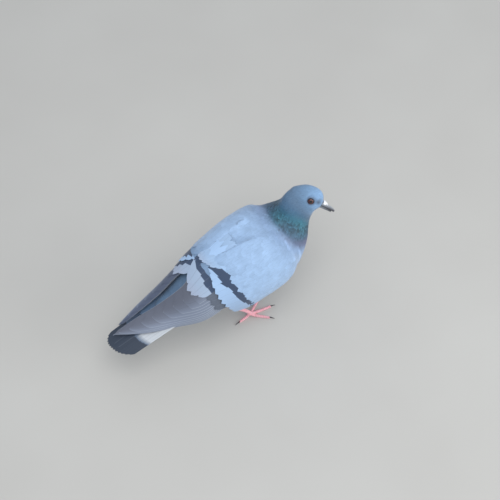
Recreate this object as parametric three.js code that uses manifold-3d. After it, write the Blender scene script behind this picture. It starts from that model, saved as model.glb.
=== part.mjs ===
// A rock pigeon (Columba livia, the blue-barred form) as a life-size still model.
// The bird stands on both feet with its wings folded, its tail closed and its neck drawn in.
// Its head is turned and cocked to its right, as a pigeon does to look up at something.
// Millimetres. +X is the way the trunk faces, +Y its left, +Z up.
import * as THREE from "three";
import { mergeVertices } from "three/addons/utils/BufferGeometryUtils.js";
import Module from "manifold-3d";

const wasm = await Module();
wasm.setup();

// ---- Driving dimensions -------------------------------------------------------------------------

const GAP = 0.3; // air between two neighbouring pieces
const FEET_APART = 46; // between the middles of the two feet
const HEAD = { x: 79, y: -10, z: 155, yaw: -47, pitch: 19, roll: -30 }; // middle of the skull, and its turn
const EYE = { x: 1.4, y: 8, z: 2.3, radius: 5 }; // eyeball's middle, from the middle of the skull
const BILL_ROOT = 13.5; // where the bill leaves the face, forward of the middle of the skull
const TARSUS = { ankleX: -21, ankleZ: 32, footX: -6, footZ: 5.2, radius: 2.1 };
const CLAW_LENGTH = 6.5;
const WING_SKIN = 1.2; // least thickness of the folded wing
const FEATHER_STEP = 1.1; // how far each layer of the folded wing lies under the one before it
const TAIL_LENGTH = 117;
const FLOOR = 0;

const COLOURS = {
  head: [0x7f9dc0, 0.75],
  neck: [0x4f7488, 0.55],
  trunk: [0x9db7d6, 0.8],
  rump: [0x6f87a3, 0.8],
  covert: [0xa8c2e0, 0.8],
  secondary: [0x8b9bb3, 0.75],
  primary: [0x6f7889, 0.7],
  tail: [0x47556a, 0.7],
  thigh: [0x93a6be, 0.85],
  leg: [0xc4606a, 0.6],
  claw: [0x2d2b2e, 0.4],
  bill: [0x3c3f46, 0.45],
  cere: [0xd9dcde, 0.8],
  eye: [0xb0401e, 0.1],
};

// ---- Shapes ------------------------------------------------------------------------------------

// One value of every field, a share u of the way down a table, on a smooth curve through its rows.
function along(rows, u) {
  const span = Math.min(Math.max(u, 0), 1) * (rows.length - 1);
  const i = Math.min(Math.floor(span), rows.length - 2);
  const f = span - i;
  const row = (k) => rows[Math.min(Math.max(k, 0), rows.length - 1)];
  const made = {};
  for (const key of Object.keys(rows[0])) {
    const [a, b, c, d] = [row(i - 1)[key], row(i)[key], row(i + 1)[key], row(i + 2)[key]];
    made[key] =
      0.5 * (2 * b + (c - a) * f + (2 * a - 5 * b + 4 * c - d) * f * f + (3 * b - a - 3 * c + d) * f ** 3);
  }
  return made;
}

// A closed geometry as a solid that can be cut and joined, set in its place first.
function solidOf(geometry, place = new THREE.Matrix4()) {
  const bare = new THREE.BufferGeometry();
  bare.setAttribute("position", geometry.getAttribute("position").clone());
  bare.setIndex(geometry.index);
  bare.applyMatrix4(place);
  const merged = mergeVertices(bare, 1e-3);
  const mesh = {
    numProp: 3,
    vertProperties: new Float32Array(merged.attributes.position.array),
    triVerts: new Uint32Array(merged.index.array),
  };
  return new wasm.Manifold(new wasm.Mesh(mesh));
}

function geometryOf(points, faces) {
  const geometry = new THREE.BufferGeometry();
  geometry.setAttribute("position", new THREE.Float32BufferAttribute(points.flat(), 3));
  geometry.setIndex(faces.flat());
  return geometry;
}

// A closed body through oval rings. Each row gives a ring's middle (x, y, z), the way it faces
// (pitch up, yaw to the left) and its half sizes (wide, up, down). Each end is a dome.
function loft(rows, { rings = 16, sides = 20, domes = [1, 1], domeRings = 3, grow = 0, fullness = 2 }) {
  const turn = new THREE.Euler();
  const ovals = [];
  const addOval = (row, shift, shrink) => {
    const { x, y = 0, z, pitch = 0, yaw = 0, wide, up, down } = row;
    turn.set(0, -THREE.MathUtils.degToRad(pitch), THREE.MathUtils.degToRad(yaw), "ZYX");
    const oval = [];
    for (let k = 0; k < sides; k++) {
      const a = (2 * Math.PI * k) / sides;
      const [c, s] = [Math.cos(a), Math.sin(a)];
      const height = s > 0 ? up : down;
      const full = s < 0 ? (Math.abs(c) ** fullness + Math.abs(s) ** fullness) ** (-1 / fullness) : 1;
      const point = new THREE.Vector3(
        shift,
        c * full * (wide + grow) * shrink,
        s * full * (height + grow) * shrink,
      ).applyEuler(turn);
      oval.push([point.x + x, point.y + y, point.z + z]);
    }
    ovals.push(oval);
  };
  const pole = (row, shift) => {
    const { x, y = 0, z, pitch = 0, yaw = 0 } = row;
    turn.set(0, -THREE.MathUtils.degToRad(pitch), THREE.MathUtils.degToRad(yaw), "ZYX");
    const point = new THREE.Vector3(shift, 0, 0).applyEuler(turn);
    return [point.x + x, point.y + y, point.z + z];
  };
  const [first, last] = [along(rows, 0), along(rows, 1)];
  for (let k = domeRings - 1; k > 0; k--) {
    const a = (k / domeRings) * (Math.PI / 2);
    addOval(first, -(domes[0] + grow) * Math.sin(a), Math.cos(a));
  }
  for (let k = 0; k <= rings; k++) addOval(along(rows, k / rings), 0, 1);
  for (let k = 1; k < domeRings; k++) {
    const a = (k / domeRings) * (Math.PI / 2);
    addOval(last, (domes[1] + grow) * Math.sin(a), Math.cos(a));
  }
  const points = ovals.flat();
  const tail = points.push(pole(first, -(domes[0] + grow))) - 1;
  const nose = points.push(pole(last, domes[1] + grow)) - 1;
  const faces = [];
  for (let k = 0; k < sides; k++) {
    const next = (k + 1) % sides;
    faces.push([tail, next, k]);
    for (let r = 0; r < ovals.length - 1; r++) {
      const [a, b] = [r * sides + k, r * sides + next];
      faces.push([a, b, b + sides], [a, b + sides, a + sides]);
    }
    const end = (ovals.length - 1) * sides;
    faces.push([nose, end + k, end + next]);
  }
  return geometryOf(points, faces);
}

// A closed plate on a surface. place(s, t) gives the outer point and the way out, and how thick
// the plate is there. s runs from low to high and t from 0 to 1.
function plate(place, { low, high, longSteps, crossSteps, mirrored = false }) {
  const points = [];
  const index = (side, i, j) => (side * (longSteps + 1) + i) * (crossSteps + 1) + j;
  for (let side = 0; side < 2; side++) {
    for (let i = 0; i <= longSteps; i++) {
      for (let j = 0; j <= crossSteps; j++) {
        const s = low + ((high - low) * i) / longSteps;
        const { point, out, thick } = place(s, j / crossSteps);
        const made = point.clone().addScaledVector(out, side ? -thick : 0);
        points.push([made.x, made.y, made.z]);
      }
    }
  }
  const faces = [];
  const quad = (a, b, c, d) => faces.push([a, b, c], [a, c, d]);
  for (let i = 0; i < longSteps; i++) {
    for (let j = 0; j < crossSteps; j++) {
      quad(index(0, i, j), index(0, i + 1, j), index(0, i + 1, j + 1), index(0, i, j + 1));
      quad(index(1, i, j + 1), index(1, i + 1, j + 1), index(1, i + 1, j), index(1, i, j));
    }
    quad(index(0, i + 1, 0), index(0, i, 0), index(1, i, 0), index(1, i + 1, 0));
    const end = crossSteps;
    quad(index(0, i, end), index(0, i + 1, end), index(1, i + 1, end), index(1, i, end));
  }
  for (let j = 0; j < crossSteps; j++) {
    quad(index(0, 0, j), index(0, 0, j + 1), index(1, 0, j + 1), index(1, 0, j));
    const end = longSteps;
    quad(index(0, end, j + 1), index(0, end, j), index(1, end, j), index(1, end, j + 1));
  }
  if (mirrored) faces.forEach((face) => face.reverse());
  return geometryOf(points, faces);
}

function box(low, high) {
  const size = high.map((h, k) => h - low[k]);
  const geometry = new THREE.BoxGeometry(...size);
  geometry.translate(...high.map((h, k) => (h + low[k]) / 2));
  return solidOf(geometry);
}

const aboveFloor = (solid) => solid.subtract(box([-400, -400, -100], [400, 400, FLOOR]));

// Parts a body with a thin straight cut, and gives the piece ahead of it and the one behind.
function partAt(solid, { x, y = 0, z, pitch, yaw = 0 }) {
  const turn = new THREE.Euler(0, -THREE.MathUtils.degToRad(pitch), THREE.MathUtils.degToRad(yaw), "ZYX");
  const half = (from, to) => {
    const geometry = new THREE.BoxGeometry(to - from, 400, 400);
    geometry.translate((from + to) / 2, 0, 0);
    geometry.applyMatrix4(new THREE.Matrix4().makeRotationFromEuler(turn).setPosition(x, y, z));
    return solid.intersect(solidOf(geometry));
  };
  return [half(GAP / 2, 400), half(-400, -GAP / 2)];
}

// The largest of the closed bodies in a solid, which drops the crumbs that a cut can leave.
function main(solid) {
  return solid.decompose().sort((a, b) => b.volume() - a.volume())[0];
}

const bird = new THREE.Group();
const pose = new THREE.Group(); // holds every mesh, so that the whole bird can be set over the origin
bird.add(pose);

function add(name, colour, solid) {
  const mesh = main(solid).getMesh();
  const geometry = new THREE.BufferGeometry();
  const positions = new Float32Array(mesh.numVert * 3);
  for (let i = 0; i < mesh.numVert; i++) {
    positions.set(mesh.vertProperties.subarray(i * mesh.numProp, i * mesh.numProp + 3), i * 3);
  }
  geometry.setAttribute("position", new THREE.BufferAttribute(positions, 3));
  geometry.setIndex(new THREE.BufferAttribute(mesh.triVerts, 1));
  geometry.computeVertexNormals();
  const [color, roughness] = COLOURS[colour];
  const made = new THREE.Mesh(geometry, new THREE.MeshStandardMaterial({ color, roughness, metalness: 0 }));
  made.name = name;
  pose.add(made);
}

// ---- Trunk and neck ----------------------------------------------------------------------------

// One feathered body from the vent to the top of the neck. The rings tip up as the neck rises.
const TORSO = [
  { x: -106, y: 0, z: 71, pitch: 15, yaw: 0, wide: 14, up: 4.5, down: 5.5 },
  { x: -88, y: 0, z: 76.5, pitch: 15, yaw: 0, wide: 18.5, up: 8.5, down: 10 },
  { x: -68, y: 0, z: 83, pitch: 15, yaw: 0, wide: 25.5, up: 18, down: 19 },
  { x: -44, y: 0, z: 88.5, pitch: 13, yaw: 0, wide: 34, up: 30, down: 31 },
  { x: -18, y: 0, z: 93, pitch: 11, yaw: 0, wide: 40, up: 38, down: 41 },
  { x: 8, y: 0, z: 97, pitch: 13, yaw: 0, wide: 43.5, up: 40, down: 46 },
  { x: 32, y: 0, z: 101, pitch: 24, yaw: 0, wide: 43.5, up: 38.5, down: 45 },
  { x: 52, y: 0, z: 113, pitch: 40, yaw: 0, wide: 32, up: 28, down: 35 },
  { x: 64, y: -1, z: 128, pitch: 54, yaw: -8, wide: 20.5, up: 22, down: 21 },
  { x: 71, y: -5, z: 142, pitch: 62, yaw: -18, wide: 16, up: 24.5, down: 15.5 },
  { x: 77, y: -8, z: 152, pitch: 66, yaw: -30, wide: 13.5, up: 24.5, down: 13.5 },
];
const TORSO_FULLNESS = 2.55; // how square the flanks are below the middle; 2 is an ellipse
const NECK_CUT = { x: 54, y: -2, z: 122, pitch: 46, yaw: -4 };
const HEAD_CUT = { x: 71.5, y: -7, z: 146, pitch: 60, yaw: -22 };
const RUMP_CUT = { x: -62, y: 0, z: 85, pitch: 12, yaw: 0 };

const TORSO_STEPS = { rings: 22, sides: 20, domes: [6, 6], domeRings: 2, fullness: TORSO_FULLNESS };
const torso = (grow = 0) => solidOf(loft(TORSO, { ...TORSO_STEPS, grow }));

// ---- Head --------------------------------------------------------------------------------------

// The head's own frame: +X to the tip of the bill, +Z to the crown, the origin amid the skull.
const headPlace = new THREE.Matrix4()
  .makeRotationFromEuler(
    new THREE.Euler(
      THREE.MathUtils.degToRad(HEAD.roll),
      THREE.MathUtils.degToRad(HEAD.pitch),
      THREE.MathUtils.degToRad(HEAD.yaw),
      "ZYX",
    ),
  )
  .setPosition(HEAD.x, HEAD.y, HEAD.z);

const SKULL = [
  { x: -16, z: -2.5, pitch: 0, wide: 9.8, up: 10.6, down: 9.6 },
  { x: -9, z: -0.5, pitch: 0, wide: 11.8, up: 13.2, down: 12.2 },
  { x: -1, z: 0, pitch: 0, wide: 12.3, up: 14.4, down: 15 },
  { x: 6, z: 0, pitch: 0, wide: 11.3, up: 14, down: 13.8 },
  { x: 11.5, z: 0, pitch: 0, wide: 9, up: 11.6, down: 9.6 },
  { x: 15, z: -0.6, pitch: 0, wide: 5.8, up: 7, down: 5.2 },
];
const skull = (grow = 0) =>
  solidOf(loft(SKULL, { rings: 8, sides: 18, domes: [7, 1.6], domeRings: 2, grow }), headPlace);

const UPPER_BILL = [
  { x: BILL_ROOT - 1, z: 0, pitch: 0, wide: 3.8, up: 2.8, down: 1.9 },
  { x: BILL_ROOT + 5, z: -0.6, pitch: 0, wide: 3.1, up: 2.2, down: 1.7 },
  { x: BILL_ROOT + 10, z: -1.3, pitch: 0, wide: 2.3, up: 1.8, down: 1.4 },
  { x: BILL_ROOT + 14, z: -1.9, pitch: 0, wide: 2.1, up: 1.9, down: 1.4 },
  { x: BILL_ROOT + 17.5, z: -3.1, pitch: 0, wide: 1.1, up: 1.4, down: 1.2 },
];
const LOWER_BILL = [
  { x: BILL_ROOT - 1, z: -3.4, pitch: 0, wide: 3.1, up: 1.5, down: 1.8 },
  { x: BILL_ROOT + 5, z: -3.8, pitch: 0, wide: 2.5, up: 1.4, down: 1.4 },
  { x: BILL_ROOT + 10, z: -4.2, pitch: 0, wide: 1.9, up: 1.3, down: 1.1 },
  { x: BILL_ROOT + 14.5, z: -4.8, pitch: 0, wide: 1.2, up: 0.9, down: 0.7 },
];
// The pale soft swelling over the nostrils.
const CERE = [
  { x: BILL_ROOT + 0.5, z: 2.2, pitch: 0, wide: 3.3, up: 2.2, down: 2 },
  { x: BILL_ROOT + 3.5, z: 1.8, pitch: 0, wide: 3.9, up: 2.2, down: 2.8 },
  { x: BILL_ROOT + 8, z: 0.5, pitch: 0, wide: 3.0, up: 1.4, down: 2.2 },
];
const upperBill = (grow = 0) =>
  solidOf(loft(UPPER_BILL, { rings: 6, sides: 10, domes: [1, 0.9], domeRings: 1, grow }), headPlace);
const lowerBill = (grow = 0) =>
  solidOf(loft(LOWER_BILL, { rings: 4, sides: 8, domes: [1, 0.8], domeRings: 1, grow }), headPlace);
const cere = () =>
  solidOf(loft(CERE, { rings: 4, sides: 10, domes: [0.8, 1.2], domeRings: 1 }), headPlace);

function eyeball(side, grow = 0) {
  const geometry = new THREE.SphereGeometry(EYE.radius + grow, 12, 8);
  geometry.translate(EYE.x, side * EYE.y, EYE.z);
  return solidOf(geometry, headPlace);
}

// ---- Wings -------------------------------------------------------------------------------------

// The folded wing from the shoulder to the tip, one row for each station. x, y and z are of its upper
// edge near the spine and of its lower edge on the flank, with y for the half of the bird the wing is
// on. lean moves an edge to the bird's left, because the right wing lies across the left one's root.
// Between its edges the wing is an arch: top and side are how far it runs on before it bends.
// thick is how deep the feathers are in its middle.
const WING = [
  { ux: 39, uy: 23, uz: 126, lx: 50, ly: 40.5, lz: 85, uLean: 0, lLean: 0, top: 18, side: 26, thick: 12 },
  { ux: 14, uy: 13, uz: 138.5, lx: 32, ly: 43, lz: 68, uLean: 0, lLean: 0, top: 25, side: 40, thick: 14 },
  { ux: -16, uy: 9, uz: 138.5, lx: 8, ly: 42.5, lz: 60, uLean: 0, lLean: 0, top: 28, side: 42, thick: 14 },
  { ux: -46, uy: 5, uz: 129, lx: -18, ly: 42, lz: 60, uLean: 0, lLean: 0, top: 27, side: 36, thick: 12 },
  { ux: -62, uy: 3, uz: 120, lx: -44, ly: 38.5, lz: 62, uLean: 2, lLean: 0, top: 24, side: 30, thick: 9 },
  { ux: -82, uy: 7, uz: 104, lx: -75, ly: 34.5, lz: 64, uLean: 4, lLean: -1, top: 16, side: 20, thick: 6 },
  { ux: -108, uy: 5, uz: 84, lx: -103, ly: 28.5, lz: 65, uLean: 8, lLean: 2.5, top: 10, side: 11, thick: 4 },
  { ux: -134, uy: 3, uz: 73, lx: -134, ly: 20, lz: 65.5, uLean: 10.5, lLean: 5, top: 5, side: 5, thick: 3 },
  { ux: -165, uy: 2, uz: 63.5, lx: -165, ly: 6, lz: 61, uLean: 11.5, lLean: 12, top: 1, side: 1, thick: 1.6 },
];
const LEFT_WING_SHORT = 11; // how much sooner the left wing ends
const FLARE = 0.25; // how far the flank leans out over the wing's lower edge, for each millimetre up
const LAP = { reach: 6, share: 0.5, spread: 0.14 }; // the upper edges alone lie further left amid the back
const NOSE = { share: 0.09, tuck: 10 }; // the rounded leading edge, which goes in under the breast feathers
// Where each layer of feathers ends, as a share of the way down that table.
const COVERTS_END = 0.47;
const SECONDARIES_END = 0.625;

// A point on the outside of the folded wing. side is -1 for the right wing, 1 for the left.
function wingPoint(side, s, t) {
  const row = along(WING, s);
  const back = side > 0 ? LEFT_WING_SHORT * s ** 4 : 0;
  const upper = new THREE.Vector3(row.ux + back, side * row.uy + row.uLean, row.uz);
  const lower = new THREE.Vector3(row.lx + back, side * row.ly + row.lLean, row.lz);
  const lap = LAP.reach * Math.exp(-(((s - LAP.share) / LAP.spread) ** 2));
  const edge = upper.clone().add(new THREE.Vector3(0, lap, 0));
  const overTop = upper.clone().add(new THREE.Vector3(0, side, -0.1).multiplyScalar(row.top));
  const upSide = lower.clone().add(new THREE.Vector3(0, side * FLARE, 1).multiplyScalar(row.side));
  return new THREE.CubicBezierCurve3(edge, overTop, upSide, lower).getPoint(t);
}

function wingLayer(side, low, high, layer, steps, grow = 0) {
  const step = 0.004;
  const place = (s, t) => {
    const ahead = wingPoint(side, s + step, t).sub(wingPoint(side, s - step, t));
    const aside = wingPoint(side, s, Math.min(1, t + step)).sub(wingPoint(side, s, Math.max(0, t - step)));
    const out = ahead.cross(aside).normalize().multiplyScalar(-side);
    const edge = 1 - Math.abs(2 * t - 1) ** 3;
    const toNose = Math.max(0, 1 - s / NOSE.share);
    const drop = layer * FEATHER_STEP + NOSE.tuck * (1 - Math.sqrt(1 - toNose ** 2));
    const thick = Math.max(WING_SKIN, along(WING, s).thick * (0.3 + 0.7 * edge) - drop) + 2 * grow;
    return { point: wingPoint(side, s, t).addScaledVector(out, grow - drop), out, thick };
  };
  return solidOf(plate(place, { low, high, ...steps, mirrored: side > 0 }));
}

// ---- Tail --------------------------------------------------------------------------------------

// The closed tail: a flat fan, a little arched across, with a rounded end.
const TAIL = {
  rootX: -60,
  rootZ: 83,
  slope: -14.5, // degrees, down to the tip
  rootWidth: 47,
  tipWidth: 41,
  aside: -2.4, // how far it lies to the bird's left
  lag: 5, // how much sooner its right side ends than its left
  arch: 3, // how much lower the sides are than the middle
  round: 14, // how much sooner the outer feathers end
  rootThick: 3.2,
  tipThick: 1.4,
  shows: 0.28, // share of its length that the rump's feathers hide
};
function tailPlace(s, t, grow) {
  const across = 1 - 2 * t;
  const slope = THREE.MathUtils.degToRad(TAIL.slope);
  const width = THREE.MathUtils.lerp(TAIL.rootWidth, TAIL.tipWidth, s);
  const early = TAIL.round * Math.abs(across) ** 2.6 - TAIL.lag * across;
  const run = TAIL_LENGTH * s - early * s ** 3;
  const point = new THREE.Vector3(
    TAIL.rootX - run * Math.cos(slope),
    (across * width) / 2 + TAIL.aside,
    TAIL.rootZ + run * Math.sin(slope) - TAIL.arch * across ** 2,
  );
  const out = new THREE.Vector3(Math.sin(slope), 0, Math.cos(slope));
  const thick = THREE.MathUtils.lerp(TAIL.rootThick, TAIL.tipThick, s) * (1 - 0.4 * across ** 4);
  return { point: point.addScaledVector(out, grow), out, thick: thick + 2 * grow };
}
const TAIL_STEPS = { low: TAIL.shows, high: 1, longSteps: 8, crossSteps: 10 };
const tail = (grow = 0) => solidOf(plate((s, t) => tailPlace(s, t, grow), TAIL_STEPS));

// ---- Legs --------------------------------------------------------------------------------------

const THIGH = [
  { x: TARSUS.ankleX + 1, z: TARSUS.ankleZ + 2, pitch: 60, wide: 3.6, up: 3.8, down: 3.8 },
  { x: -14, z: 43, pitch: 56, wide: 8, up: 9, down: 8.5 },
  { x: -7, z: 56, pitch: 58, wide: 12.5, up: 15, down: 14 },
  { x: -2, z: 70, pitch: 66, wide: 14, up: 18, down: 18 },
];
const SHANK = [
  { x: TARSUS.footX, z: TARSUS.footZ - 1, pitch: 108, wide: 3.3, up: 3, down: 3 },
  { x: TARSUS.footX - 1.5, z: TARSUS.footZ + 4, pitch: 120, wide: 2.3, up: 2.3, down: 2.4 },
  { x: -13.5, z: 18.5, pitch: 122, wide: TARSUS.radius, up: TARSUS.radius, down: TARSUS.radius + 0.3 },
  { x: TARSUS.ankleX + 1, z: TARSUS.ankleZ - 3, pitch: 118, wide: 2.7, up: 2.7, down: 3.1 },
  { x: TARSUS.ankleX + 0.4, z: TARSUS.ankleZ + 1, pitch: 96, wide: 2.9, up: 2.9, down: 3.2 },
];
// Each toe's heading from straight ahead (outwards), length, thickness, and where it leaves the foot.
const TOES = {
  inner: { heading: -31, length: 18.5, radius: 1.8 },
  middle: { heading: 8, length: 24, radius: 1.9 },
  outer: { heading: 42, length: 20.5, radius: 1.8 },
  hind: { heading: 174, length: 12.5, radius: 1.7 },
};

function onFoot(rows, side) {
  return rows.map((row) => ({ y: (side * FEET_APART) / 2, yaw: 0, ...row }));
}
const thigh = (side) =>
  solidOf(loft(onFoot(THIGH, side), { rings: 6, sides: 12, domes: [2, 8], domeRings: 2 }));
const shank = (side, grow = 0) =>
  solidOf(loft(onFoot(SHANK, side), { rings: 7, sides: 8, domes: [2, 2], domeRings: 1, grow }));

// A toe lies on the ground. Its pads swell a little at the joints.
function toeRows(side, { heading, length, radius }) {
  const yaw = side * heading;
  const turn = THREE.MathUtils.degToRad(yaw);
  const count = 8;
  return Array.from({ length: count + 1 }, (_, k) => {
    const u = k / count;
    const far = 2.4 + length * u;
    const thick = radius * (1.08 - 0.3 * u) * (1 + 0.07 * Math.cos(3 * 2 * Math.PI * u));
    const raised = 1.6 * Math.max(0, 1 - 3 * u) ** 2; // the root climbs to the foot's pad
    return {
      x: TARSUS.footX + Math.cos(turn) * far,
      y: (side * FEET_APART) / 2 + Math.sin(turn) * far,
      z: FLOOR + thick * 0.86 + raised,
      pitch: 0,
      yaw,
      wide: thick,
      up: thick,
      down: thick,
    };
  });
}
const toe = (side, spec, grow = 0) =>
  solidOf(loft(toeRows(side, spec), { rings: 6, sides: 8, domes: [1, 1.2], domeRings: 1, grow }));

// A claw is a curved cone that leaves the toe's tip and comes down to the ground.
function claw(side, spec) {
  const end = toeRows(side, spec).at(-1);
  const turn = THREE.MathUtils.degToRad(end.yaw);
  const count = 4;
  const rows = Array.from({ length: count + 1 }, (_, k) => {
    const u = k / count;
    const far = CLAW_LENGTH * u - 0.4;
    const thick = 1.15 * (1 - 0.72 * u);
    return {
      x: end.x + Math.cos(turn) * far,
      y: end.y + Math.sin(turn) * far,
      z: FLOOR + 2.1 - 1.5 * u ** 2,
      pitch: -34 * u,
      yaw: end.yaw,
      wide: thick * 0.8,
      up: thick,
      down: thick,
    };
  });
  return solidOf(loft(rows, { rings: 3, sides: 6, domes: [0.5, 0.5], domeRings: 1 }));
}

// ---- Putting the bird together -------------------------------------------------------------------

const [aheadOfHeadCut, body] = partAt(torso(), HEAD_CUT);
const [neckPiece, belowNeck] = partAt(body, NECK_CUT);
const [trunkPiece, rumpPiece] = partAt(belowNeck, RUMP_CUT);
// The skull's back reaches past the cut, so the neck gives way to it.
const neck = main(neckPiece).subtract(skull(GAP));

let head = skull().add(main(aheadOfHeadCut));
for (const side of [-1, 1]) head = head.subtract(eyeball(side, GAP));
head = head.subtract(upperBill(GAP)).subtract(lowerBill(GAP));

add("head", "head", head);
add("neck", "neck", neck);
add("trunk", "trunk", trunkPiece);
add("rump", "rump", rumpPiece);
add("bill_upper", "bill", upperBill());
add("bill_lower", "bill", lowerBill().subtract(upperBill(GAP)));
add("cere", "cere", cere().subtract(upperBill(GAP)).subtract(skull(GAP)));
add("eye_right", "eye", eyeball(-1));
add("eye_left", "eye", eyeball(1));

const coat = torso(GAP);
const underWings = coat.add(tail(GAP));
const layers = [
  ["coverts", "covert", 0.0, COVERTS_END, 0, { longSteps: 11, crossSteps: 10 }],
  ["secondaries", "secondary", COVERTS_END, SECONDARIES_END, 1, { longSteps: 4, crossSteps: 10 }],
  ["primaries", "primary", SECONDARIES_END, 1.0, 2, { longSteps: 8, crossSteps: 8 }],
];
const APART = 0.0016; // the gap between two layers, as a share of the wing's length
const MARGIN = 0.03; // how much further than the left wing's layer the right one's runs, to clear it
for (const [side, name] of [[-1, "right"], [1, "left"]]) {
  for (const [layer, colour, from, to, depth, steps] of layers) {
    const low = depth ? from + APART : from;
    let solid = wingLayer(side, low, to, depth, steps).subtract(underWings);
    if (side > 0) {
      const [start, end] = [Math.max(0, low - MARGIN), Math.min(1, to + MARGIN)];
      solid = solid.subtract(wingLayer(-1, start, end, depth, steps, GAP));
    }
    add(`wing_${name}_${layer}`, colour, solid);
  }
}
add("tail", "tail", tail().subtract(coat));

for (const [side, name] of [[-1, "right"], [1, "left"]]) {
  let taken = shank(side, GAP); // the leg so far, which each toe stands clear of
  const [, , from, to, depth, steps] = layers[0];
  const besideThigh = wingLayer(side, from, to, depth, steps, GAP);
  add(`thigh_${name}`, "thigh", thigh(side).subtract(coat).subtract(taken).subtract(besideThigh));
  add(`shank_${name}`, "leg", aboveFloor(shank(side)));
  for (const [toeName, spec] of Object.entries(TOES)) {
    add(`toe_${name}_${toeName}`, "leg", aboveFloor(toe(side, spec).subtract(taken)));
    taken = taken.add(toe(side, spec, GAP));
    add(`claw_${name}_${toeName}`, "claw", aboveFloor(claw(side, spec).subtract(taken)));
  }
}

// The origin is on the ground, amid the bird's own box.
const bounds = new THREE.Box3().setFromObject(bird);
const middle = bounds.getCenter(new THREE.Vector3());
pose.position.set(-middle.x, -middle.y, -bounds.min.z);

export default bird;
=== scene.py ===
import math

import bmesh
import bpy
import numpy as np
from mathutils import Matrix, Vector
from mathutils.bvhtree import BVHTree
from mathutils.kdtree import KDTree


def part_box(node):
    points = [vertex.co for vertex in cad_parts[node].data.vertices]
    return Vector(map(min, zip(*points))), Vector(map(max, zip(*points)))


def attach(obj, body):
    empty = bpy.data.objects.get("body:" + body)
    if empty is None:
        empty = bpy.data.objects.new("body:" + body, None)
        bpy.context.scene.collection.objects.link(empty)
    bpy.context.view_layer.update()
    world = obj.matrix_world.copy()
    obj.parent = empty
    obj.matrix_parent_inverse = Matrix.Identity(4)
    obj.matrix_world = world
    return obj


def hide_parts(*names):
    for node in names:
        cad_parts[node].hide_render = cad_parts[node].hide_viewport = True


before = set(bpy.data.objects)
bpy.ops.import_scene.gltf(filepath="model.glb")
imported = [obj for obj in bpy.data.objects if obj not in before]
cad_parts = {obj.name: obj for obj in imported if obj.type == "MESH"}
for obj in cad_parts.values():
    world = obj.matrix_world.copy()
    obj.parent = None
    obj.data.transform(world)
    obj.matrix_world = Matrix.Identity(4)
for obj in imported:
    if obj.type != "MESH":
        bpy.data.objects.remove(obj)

# A rock pigeon of the blue-barred form, life size, standing with folded wings. Lengths here are in
# millimetres, and each mesh is made in metres in the frame's own axes: +X ahead, +Y left, +Z up.
MM = 0.001
scene = bpy.context.scene
for spare in ("Cube", "Light", "Camera"):
    if spare in scene.objects:
        bpy.data.objects.remove(scene.objects[spare])
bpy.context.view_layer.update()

# ---- Camera --------------------------------------------------------------------------------------
# One long lens looks down on the bird's right side from a standing person's height.
AZIMUTH, ELEVATION, DISTANCE = math.radians(-33), math.radians(57), 1.5
AIM = Vector((0.048, 0.0012, 0.0942))
back = Vector((
    math.sin(AZIMUTH) * math.cos(ELEVATION),
    -math.cos(AZIMUTH) * math.cos(ELEVATION),
    math.sin(ELEVATION),
))
camera = bpy.data.objects.new("camera", bpy.data.cameras.new("camera"))
camera.data.lens = 97.2
camera.data.sensor_width = 36
camera.data.clip_end = 20
camera.location = AIM + back * DISTANCE
camera.rotation_euler = (-back).to_track_quat("-Z", "Y").to_euler()
scene.collection.objects.link(camera)
scene.camera = camera


# ---- Skin ----------------------------------------------------------------------------------------
# One skin over head, neck, trunk, legs down to the ankle and the arms folded in the wings. In life
# it is thin and pale and hardly ever seen: the feathers stand in it, and it lies under them by the
# depth of the coat.
SKIN_NODES = ["head", "neck", "trunk", "rump", "thigh_right", "thigh_left",
              "wing_right_coverts", "wing_left_coverts"]
SKIN_VOXEL = 1.5  # how fine its mesh is
SKIN_ROUNDS = 14  # times that it is smoothed
SKIN_FILL = 6  # it bridges creases up to twice as wide, such as the one beside each wing


def linear(colour):
    """An sRGB hex colour as linear red, green, blue and alpha."""
    parts = [int(colour[k:k + 2], 16) / 255 for k in (1, 3, 5)]
    return tuple(p / 12.92 if p <= 0.04045 else ((p + 0.055) / 1.055) ** 2.4 for p in parts) + (1.0,)


def rgb(colour):
    """The same without its alpha, to mix and to store on a mesh."""
    return np.array(linear(colour)[:3])


def plug(made, inputs):
    """Gives a node's sockets, by name or number, a constant or another node's output."""
    for socket, value in inputs.items():
        if isinstance(value, bpy.types.NodeSocket):
            made.id_data.links.new(value, made.inputs[socket])
        else:
            made.inputs[socket].default_value = value


def node(tree, kind, inputs, **settings):
    """Adds a node with its settings and links."""
    made = tree.nodes.new(kind)
    for setting, value in settings.items():
        setattr(made, setting, value)
    plug(made, inputs)
    return made


def new_material(name):
    """An empty material, its node tree and its surface shader."""
    material = bpy.data.materials.new(name)
    material.use_nodes = True
    tree = material.node_tree
    return material, tree, tree.nodes["Principled BSDF"]


def vertices_of(mesh):
    """A mesh's points and their normals, in millimetres."""
    points = np.empty(len(mesh.vertices) * 3, np.float32)
    normals = np.empty_like(points)
    mesh.vertices.foreach_get("co", points)
    mesh.vertex_normals.foreach_get("vector", normals)
    return points.reshape(-1, 3).astype(float) / MM, normals.reshape(-1, 3).astype(float)


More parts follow.
